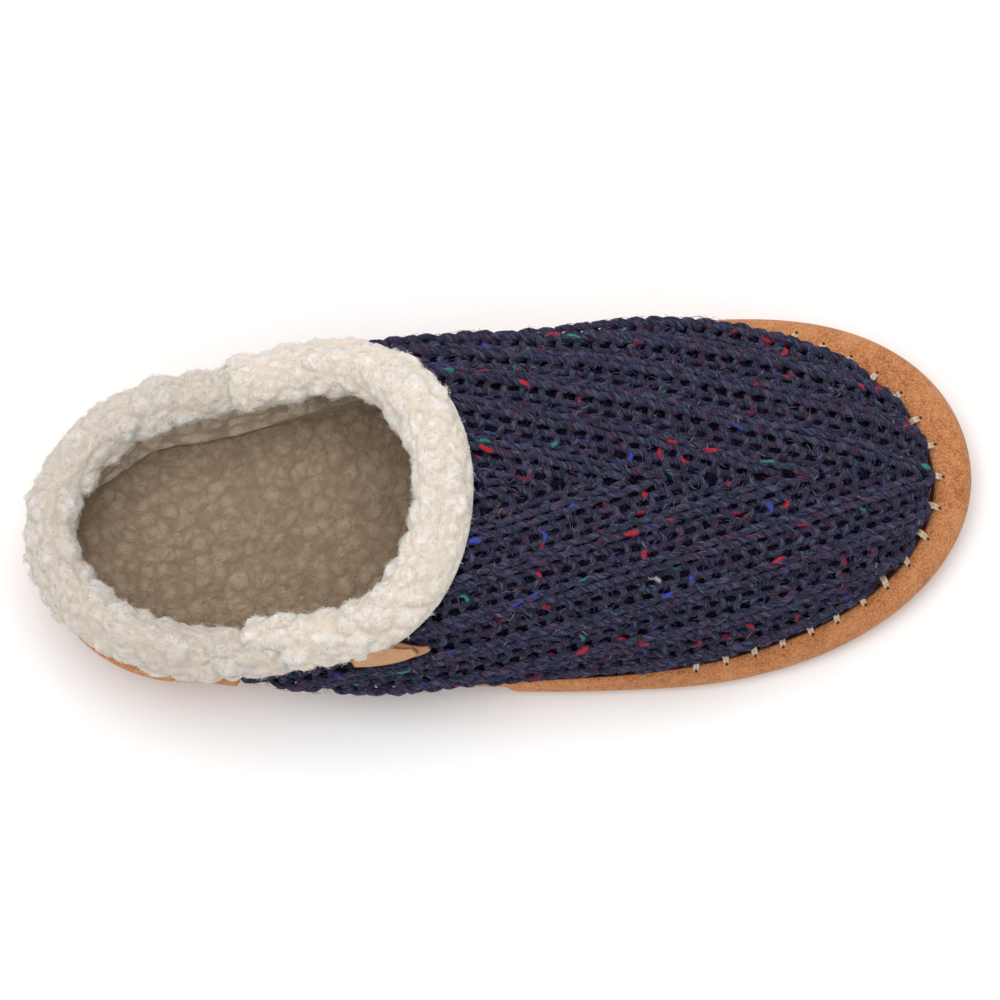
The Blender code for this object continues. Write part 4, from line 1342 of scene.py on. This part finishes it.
class SLIPPER_OT_inside(bpy.types.Operator):
    """Line the shoe: fleece on the inside of the wall and a fleece footbed"""
    bl_idname = "slipper.inside"
    bl_label = "Fleece Inside"

    LINING = 0.0026
    LINING_BACK = 0.0004
    LINING_TOP = 0.0090
    TOP_SHARE = 0.2
    LINING_LUMPS = 0.45
    LINING_LEVEL = 0.5
    WELT = 0.0100
    WELT_HEIGHT = 0.0210
    WELT_TURN = 0.8
    WELT_FADE = 0.02
    WELT_UNDERCUT = 0.0022
    UNDERCUT_HEIGHT = 0.0016
    # Painted shade: height over the footbed below which the lining darkens
    SEAM_HEIGHT = 0.0030
    FOOTBED = 0.0040
    FOOTBED_INSET = 0.0042
    FOOTBED_ROWS = 64
    FOOTBED_LEVEL = 0.6
    EDGE_WIDTH = 0.0042
    EDGE_DROP = 0.0030
    EDGE_POWER = 2.5
    # Share of painted shade at the footbed's edge
    EDGE_SHADE = 0.8
    WARP_SIZE = 0.006
    WARP = 0.0022
    FINE_SIZE = 0.0017
    FINE_WARP = 0.0007
    SOFTNESS = 0.7
    SWELL_SIZE = 0.012
    SWELL = 0.5
    SWELL_AIR = 0.2

    def execute(self, context):
        sherpa = context.scene.slipper_sherpa
        lining = fleece_finish("pale_fleece", sherpa.lining, sherpa.lining_root_and_shade, sherpa.fleece)
        self.make_lining(sherpa, lining)
        footbed = fleece_finish("beige_fleece", sherpa.fleece, sherpa.fleece_root_and_shade, sherpa.fleece_root_and_shade,
                                curl=sherpa.footbed_curl)
        self.make_footbed(sherpa, footbed)
        return {"FINISHED"}

    def lumps(self, sherpa, points):
        """Soft lumps of the fleece: relief from 0 to 1, and how far each point lies out of the clefts."""
        warp = self.WARP * drift(points, self.WARP_SIZE)
        fine = self.FINE_WARP * drift(points, self.FINE_SIZE)
        relief, open_air = curl_relief(points + warp + fine, sherpa.fleece_curl, self.SOFTNESS)
        swell = soft_noise(points, self.SWELL_SIZE)
        return relief + self.SWELL * swell, np.clip(open_air + self.SWELL_AIR * swell, 0, 1)

    def make_lining(self, sherpa, material):
        """Fleece on the inside of the wall, thicker low on the inner side, where it laps onto the footbed."""
        last = the_last()
        below_edge = last.from_crown - last.from_crown[:, -1:]
        full = smooth_step(below_edge, 0, self.LINING_TOP)
        thick = self.LINING * (self.TOP_SHARE + (1 - self.TOP_SHARE) * full)
        over_bed = last.wall[..., 2] - (SOLE_THICKNESS + self.FOOTBED)
        side = smooth_step(np.sin(last.turn), 0.0, self.WELT_TURN)
        side = side * (1 - smooth_step(last.at, last.front_x, last.front_x + self.WELT_FADE))
        welt = self.WELT * (1 - smooth_step(over_bed, 0, self.WELT_HEIGHT))
        welt -= self.WELT_UNDERCUT * (1 - smooth_step(over_bed, 0, self.UNDERCUT_HEIGHT))
        base = last.wall - last.normals * (WALL + GAP + thick)[..., None]
        base[..., :2] -= last.directions[:, None] * (welt * side[:, None])[..., None]
        relief, open_air = self.lumps(sherpa, base)
        lumps = self.LINING_LUMPS * sherpa.fleece_height * (relief - self.LINING_LEVEL)
        points = base - last.normals * lumps[..., None]
        # Painted shade: the lining darkens to its root colour towards the footbed, where shade falls in the
        # crease
        open_air = open_air * smooth_step(over_bed, 0.0, self.SEAM_HEIGHT)
        mesh = bmesh.new()
        add_shell(mesh, last.wall - last.normals * (WALL + self.LINING_BACK), points, open_air=open_air)
        make_piece("fleece_lining", mesh, material)

    def make_footbed(self, sherpa, material):
        """Footbed on the sole, rounded down at its edge, with painted shade along that edge beside the
        lining.
        """
        last = the_last()
        base = SOLE_THICKNESS + GAP
        reach = (last.feather_reach - self.FOOTBED_INSET)[None, :]
        shares = np.sin(np.linspace(0, pi / 2, self.FOOTBED_ROWS))[::-1, None]
        rows = [(np.zeros((1, 1)), 0.0), (np.ones((1, 1)), 0.0), (shares, 1.0)]
        sheets, airs = [], []
        for share, raised in rows:
            plan = last.origins[None] + last.directions[None] * (share * reach)[..., None]
            edge = np.clip(1 - (1 - share) * reach / self.EDGE_WIDTH, 0, 1)
            top = self.FOOTBED - self.EDGE_DROP * edge ** self.EDGE_POWER
            level = base + toe_rise(plan[..., 0]) + raised * top
            points = np.concatenate([plan, level[..., None]], axis=-1)
            relief, open_air = self.lumps(sherpa, points)
            points[..., 2] += raised * sherpa.fleece_height * (relief - self.FOOTBED_LEVEL)
            sheets.append(points)
            # Painted shade: open_air falls towards the edge, so the edge takes the root colour
            airs.append(open_air * (1 - self.EDGE_SHADE * edge))
        mesh = bmesh.new()
        add_sheet(mesh, around(np.concatenate(sheets)), open_air=around(np.concatenate(airs)))
        weld(mesh)
        footbed = make_piece("fleece_footbed", mesh, material, ["insole"])


class SLIPPER_OT_suede(bpy.types.Operator):
    """Wrap the sole and the heel in suede"""
    bl_idname = "slipper.suede"
    bl_label = "Suede Sole and Counter"

    UNDER_SHARES = (0.0, 0.3, 0.6, 0.85)
    TOP_SHARES = (0.97, 0.8, 0.4, 0.0)
    EDGE_STEPS = 48
    STEP_X = -0.0018
    STEP_LENGTH = 0.0016
    STEP_TURN = 0.7
    EDGE_ROUND = 0.0012
    COUNTER_TUCK = 0.0012
    CREASE_FROM = 0.62
    CREASE_FULL = 0.80
    CREASE_AT = 0.36
    CREASE_WIDTH = 0.07
    CREASE_DEPTH = 0.00035
    SEAM_DEPTH = 0.0011
    SEAM_FROM = 0.86
    # Rim rows and share of the seam width that carry the painted shadow
    SHADE_FROM = 0.55
    SHADE_FULL = 0.85
    SHADE_CORE = 0.5

    def execute(self, context):
        suede = context.scene.slipper_suede
        material = suede_finish(suede)
        self.make_sole(suede, material)
        self.make_counter(suede, material)
        return {"FINISHED"}

    def make_sole(self, suede, material):
        """Sole with a rolled rim, flat heel and forefoot, arch and toe spring."""
        last = the_last()
        reach, feather = last.sole_reach.copy(), last.feather_reach
        foot_x = last.origins[:, 0] + last.directions[:, 0] * reach
        outer = smooth_step(-last.directions[:, 1], 0.0, self.STEP_TURN)
        behind_step = 1 - smooth_step(foot_x, self.STEP_X, self.STEP_X + self.STEP_LENGTH)
        reach -= suede.flange_step * outer * behind_step
        rings, from_feather = [], []
        for share in self.UNDER_SHARES:
            rings.append(self.level(last, share * reach, 0.0))
            from_feather.append(np.ones(len(reach)))
        toe = smooth_step(foot_x, along(self.CREASE_FROM), along(self.CREASE_FULL))
        for row in np.linspace(0, len(SOLE_EDGE_ROWS) - 1, self.EDGE_STEPS):
            rim_share = edge_value("rim_share", row)
            inward = edge_value("inset", row) + rim_share * (reach - feather)
            ring = self.level(last, reach - inward, edge_value("height", row))
            in_crease = np.exp(-((rim_share - self.CREASE_AT) / self.CREASE_WIDTH) ** 2)
            sunk = self.SEAM_DEPTH * smooth_step(rim_share, self.SEAM_FROM, 1.0)
            ring[:, 2] -= self.CREASE_DEPTH * toe * in_crease + sunk
            rings.append(ring)
            below_top = 1 - smooth_step(rim_share, self.SHADE_FROM, self.SHADE_FULL)
            from_feather.append(reach - inward - feather + suede.seam_width * below_top)
        for share in self.TOP_SHARES:
            rings.append(self.level(last, share * feather, 1.0))
            from_feather.append(np.zeros(len(reach)))
        # Painted shadow under the knit's edge: full within the core of the seam width from the feather line,
        # gone beyond it
        core = self.SHADE_CORE * suede.seam_width
        shade = 1 - smooth_step(np.array(from_feather), core, suede.seam_width)
        mesh = bmesh.new()
        add_sheet(mesh, around(np.array(rings)), seam_shade=around(shade))
        weld(mesh)
        make_piece("suede_sole", mesh, material, ["sole"])

    def level(self, last, reach, height):
        """Ring of points at a reach along the rays, from the underside (0) to the top (1) of the sole."""
        plan = last.origins + last.directions * reach[:, None]
        return np.column_stack([plan, sole_level(plan[:, 0], height)])

    def make_counter(self, suede, material):
        """Panel round the heel, with rounded edges."""
        last = the_last()
        columns = last.behind(last.seam_x)
        wall, normals = last.wall[columns], last.normals[columns]
        from_seam = abs(wall[..., 0] - last.seam_x)
        rounding = np.sqrt(1 - (1 - np.clip(from_seam / self.EDGE_ROUND, 0, 1)) ** 2)
        outer = wall + normals * (GAP + suede.counter * rounding)[..., None]
        mesh = bmesh.new()
        inner = wall - normals * self.COUNTER_TUCK
        add_slab(mesh, np.swapaxes(outer, 0, 1), np.swapaxes(inner, 0, 1))
        make_piece("suede_counter", mesh, material, ["heel_counter"])


class SLIPPER_OT_stitches(bpy.types.Operator):
    """Sew the whip stitches round the toe, each into its hole in the suede"""
    bl_idname = "slipper.stitches"
    bl_label = "Whip Stitches"

    PATH_POINTS = 9
    SIDES = 8
    LOOK_AHEAD = 0.001
    EDGE_STEPS = 60
    OUTER_SHORTER = 0.38
    REACH_SPREAD = (0.92, 1.08)
    LEAN = 0.10
    UNDER_KNIT = 0.0012
    START_HEIGHT = 0.0024
    SEAM_HEIGHT = 0.0028
    KNOTS = (0.0, 0.25, 0.80, 1.0)
    OVER_RIM = 0.5
    INTO_HOLE = 0.4
    TILT = 0.4
    PLY_APART = 0.25
    PLY_WIDTH = 0.28
    PLY_END = 0.85
    PLY_SWELL = 0.25
    THREAD_OFFSET = 0.013
    HOLE_AHEAD = 0.0003
    HOLE_RAISED = 0.00012
    HOLE_SIZE = (0.0009, 0.0009, 0.0004)

    def execute(self, context):
        stitch = context.scene.slipper_stitch
        threads, holes = bmesh.new(), bmesh.new()
        rng = np.random.default_rng(5)
        for k, (foot, out) in enumerate(self.places(stitch)):
            self.sew(threads, holes, stitch, foot, out, rng, k)
        make_piece("whip_stitches", threads, thread_finish(stitch))
        make_piece("stitch_holes", holes, hole_finish(stitch))
        return {"FINISHED"}

    def places(self, stitch):
        """Points on the feather line from the outer side round the toe to the inner, with the way out."""
        line = the_last().feather_line
        start = np.argmin(abs(line[:, 0] - along(stitch.outer_start)) + (line[:, 1] > 0))
        end = np.argmin(abs(line[:, 0] - along(stitch.inner_end)) + (line[:, 1] < 0))
        run = line[start:end + 1]
        lengths = arc_lengths(run)
        places = np.arange(0, lengths[-1], stitch.spacing)
        feet = resample(run, places)
        before, after = np.maximum(places - self.LOOK_AHEAD, 0), places + self.LOOK_AHEAD
        ahead = unit(resample(run, after) - resample(run, before))
        return list(zip(feet, np.stack([ahead[:, 1], -ahead[:, 0]], axis=1)))

    def suede_height(self, foot, out, reach):
        """Height of the suede at a reach out from the feather line."""
        rim = max(ray_reach(the_last().sole_line, foot, out), DOUBLE)
        rows = np.linspace(0, len(SOLE_EDGE_ROWS) - 1, self.EDGE_STEPS)
        height = np.interp(1 - reach / rim, edge_value("rim_share", rows), edge_value("height", rows))
        return sole_level(foot[0] + out[0] * reach, height)

    def sew(self, threads, holes, stitch, foot, out, rng, k):
        """One stitch from the knit's edge over the seam to its hole."""
        shorter = 1 - self.OUTER_SHORTER * max(0.0, -out[1])
        reach = stitch.reach * shorter * rng.uniform(*self.REACH_SPREAD)
        lean = rng.normal(0, self.LEAN)
        heading = unit(out + lean * np.array([-out[1], out[0]]))
        thick = stitch.thread
        floor = SOLE_THICKNESS + toe_rise(foot[0])
        end_height = self.suede_height(foot, heading, reach)
        share = np.linspace(0, 1, self.PATH_POINTS)
        run = -self.UNDER_KNIT + (reach + self.UNDER_KNIT) * share
        heights = (floor + self.START_HEIGHT, floor + self.SEAM_HEIGHT,
                   end_height + self.OVER_RIM * thick, end_height - self.INTO_HOLE * thick)
        level = smooth_through(share, self.KNOTS, heights)
        path = np.column_stack([foot + heading * run[:, None], level])
        normals = np.tile([0.0, 0.0, 1.0], (self.PATH_POINTS, 1)) + self.TILT * np.append(heading, 0.0)
        lengths = arc_lengths(path)
        lengths = np.concatenate([lengths[:1], lengths, lengths[-1:]])
        beside = np.array([-heading[1], heading[0], 0.0])
        for ply in (-1, 1):
            strand = path + beside * ply * self.PLY_APART * thick
            swell = self.PLY_WIDTH * thick * (self.PLY_END + self.PLY_SWELL * np.sin(pi * share))
            rings = tube(strand, unit(normals), swell, self.SIDES)
            add_sheet(threads, rings, thread_length=lengths[:, None] + self.THREAD_OFFSET * k,
                      thread_turn=np.linspace(0, 1, self.SIDES + 1)[None])
        # Painted shade: a dark flattened cup at the stitch's end stands for the shade in its hole
        spot = np.append(foot + heading * (reach + self.HOLE_AHEAD), end_height + self.HOLE_RAISED)
        cup = bmesh.ops.create_uvsphere(holes, u_segments=12, v_segments=6, radius=0.5)["verts"]
        size = Matrix.Diagonal((*self.HOLE_SIZE, 1.0))
        turn = Matrix.Rotation(np.arctan2(heading[1], heading[0]), 4, "Z")
        bmesh.ops.transform(holes, matrix=Matrix.Translation(Vector(spot)) @ turn @ size, verts=cup)


class SLIPPER_OT_tab(bpy.types.Operator):
    """Lay the plain leather tab, an under ply and a face ply, under the cuff on the outer side"""
    bl_idname = "slipper.tab"
    bl_label = "Leather Tab"

    ALONG = 0.340
    CLEAR = 0.0008
    HIDDEN = 0.0042
    OFF_KNIT = 0.0012
    SLANT = 1.05
    RISEN = 0.0078
    UNDER_LOWER = 1.30
    # Painted shade: share of the dark edge colour over the whole under ply
    UNDER_SHADE = 0.40
    FACE_LOWER = 0.86
    ROUND_ENDS = 0.2
    ROUND_POWER = 3
    STATIONS = 40
    PLY_POINTS = 16
    ROW_STEPS = 2
    EDGE_STEPS = 2

    def execute(self, context):
        stitch = context.scene.slipper_stitch
        collar = CollarPath(False, the_last().seam_x)
        middle = collar.place_at(along(self.ALONG), -1)
        mesh = bmesh.new()
        over = self.OFF_KNIT + stitch.tab_thickness + GAP
        self.add_ply(mesh, stitch, collar, middle + stitch.tab_shift, self.OFF_KNIT, self.UNDER_LOWER,
                     self.UNDER_SHADE)
        self.add_ply(mesh, stitch, collar, middle, over, self.FACE_LOWER, 0.0)
        make_piece("leather_tab", mesh, leather_finish(stitch), ["side_tag"])
        return {"FINISHED"}

    def add_ply(self, mesh, stitch, collar, middle, reach, lower, shade):
        """One ply of leather from under the cuff down to a curved lower edge."""
        beside = np.linspace(-1, 1, self.STATIONS)
        places = middle + stitch.tab_length / 2 * beside
        top = FRONT_CUFF[CUFF_COLUMNS.index("drop")] + self.CLEAR
        rounding = 1 - self.ROUND_ENDS * abs(beside) ** self.ROUND_POWER
        lows = lower * stitch.tab_drop * (1 + self.SLANT * beside) * rounding
        highs = -self.HIDDEN + lower * self.RISEN * smooth_step(beside, 0.0, 1.0)
        rings = np.array([
            [collar.point(station, reach, -top - down) for down in np.linspace(high, low, self.PLY_POINTS)]
            for station, high, low in zip(zip(*collar.frames(places)), highs, lows)])
        from_low = np.arange(self.PLY_POINTS)[None, ::-1] * self.ROW_STEPS
        edge = np.minimum(from_ends(self.STATIONS)[:, None], from_low)
        # Painted shade: the under ply takes at least its shade share of the edge colour
        cut = np.maximum(1 - smooth_step(edge, 0, self.EDGE_STEPS), shade)
        half = sheet_normals(rings, closed=False) * stitch.tab_thickness / 2
        add_slab(mesh, rings + half, rings - half, cut_edge=cut)


class SLIPPER_OT_stage(bpy.types.Operator):
    """Set up the camera, the floor and the lights"""
    bl_idname = "slipper.stage"
    bl_label = "Stage"

    FLOOR_SIZE = 3.0
    LIGHT_SIZE = 1.2
    KEY_PLACE = (-0.05, 0.35, 1.40)
    FILL_PLACE = (-0.6, -0.6, 1.1)

    def execute(self, context):
        stage = context.scene.slipper_stage
        self.make_floor(stage)
        self.make_camera(context, stage)
        self.make_light("key", self.KEY_PLACE, stage.key_power)
        self.make_light("fill", self.FILL_PLACE, stage.fill_power)
        world = bpy.data.worlds.new("studio")
        world.use_nodes = True
        background = world.node_tree.nodes["Background"]
        background.inputs["Color"].default_value = (1.0, 1.0, 1.0, 1.0)
        background.inputs["Strength"].default_value = stage.sky
        context.scene.world = world
        context.scene.view_settings.view_transform = "Standard"
        return {"FINISHED"}

    def make_floor(self, stage):
        """Pale floor under the shoe."""
        mesh = bmesh.new()
        bmesh.ops.create_grid(mesh, x_segments=1, y_segments=1, size=self.FLOOR_SIZE)
        data = bpy.data.meshes.new("floor")
        mesh.to_mesh(data)
        mesh.free()
        data.materials.append(floor_finish(stage))
        floor = bpy.data.objects.new("floor", data)
        bpy.context.scene.collection.objects.link(floor)

    def make_camera(self, context, stage):
        """Camera over the shoe, a little to its outer side, as the photograph was taken."""
        camera = bpy.data.objects.new("camera", bpy.data.cameras.new("camera"))
        camera.data.lens = stage.lens
        back = Vector((sin(stage.azimuth) * cos(stage.elevation), -cos(stage.azimuth) * cos(stage.elevation),
                       sin(stage.elevation)))
        camera.location = Vector(stage.target) + back * stage.distance
        camera.rotation_euler = (pi / 2 - stage.elevation, 0.0, stage.azimuth)
        context.scene.collection.objects.link(camera)
        context.scene.camera = camera

    def make_light(self, name, place, power):
        """Soft square light that faces the shoe."""
        light = bpy.data.lights.new(name, "AREA")
        light.size = self.LIGHT_SIZE
        light.energy = power
        lamp = bpy.data.objects.new(name, light)
        lamp.location = place
        lamp.rotation_euler = Vector(place).to_track_quat("Z", "Y").to_euler()
        bpy.context.scene.collection.objects.link(lamp)


class SLIPPER_PT_panel(bpy.types.Panel):
    """Settings and steps of the slipper"""
    bl_idname = "SLIPPER_PT_panel"
    bl_label = "Clog Slipper"
    bl_space_type = "VIEW_3D"
    bl_region_type = "UI"
    bl_category = "Slipper"

    def draw(self, context):
        for operator in OPERATORS:
            self.layout.operator(operator.bl_idname)
        for name, group in SETTINGS.items():
            settings = getattr(context.scene, name)
            box = self.layout.box()
            for prop in group.__annotations__:
                box.prop(settings, prop)


OPERATORS = (SLIPPER_OT_stage, SLIPPER_OT_suede, SLIPPER_OT_knit, SLIPPER_OT_inside, SLIPPER_OT_cuffs,
             SLIPPER_OT_stitches, SLIPPER_OT_tab)
SETTINGS = {
    "slipper_knit": KnitSettings,
    "slipper_sherpa": SherpaSettings,
    "slipper_suede": SuedeSettings,
    "slipper_stitch": StitchSettings,
    "slipper_stage": StageSettings,
}


def register():
    for group in SETTINGS.values():
        bpy.utils.register_class(group)
    for name, group in SETTINGS.items():
        setattr(bpy.types.Scene, name, PointerProperty(type=group))
    for operator in OPERATORS:
        bpy.utils.register_class(operator)
    bpy.utils.register_class(SLIPPER_PT_panel)


def unregister():
    bpy.utils.unregister_class(SLIPPER_PT_panel)
    for operator in reversed(OPERATORS):
        bpy.utils.unregister_class(operator)
    for name, group in reversed(SETTINGS.items()):
        delattr(bpy.types.Scene, name)
        bpy.utils.unregister_class(group)


def main():
    register()
    bpy.ops.slipper.stage()
    bpy.ops.slipper.suede()
    bpy.ops.slipper.knit()
    bpy.ops.slipper.inside()
    bpy.ops.slipper.cuffs()
    bpy.ops.slipper.stitches()
    bpy.ops.slipper.tab()


if __name__ == "__main__":
    main()
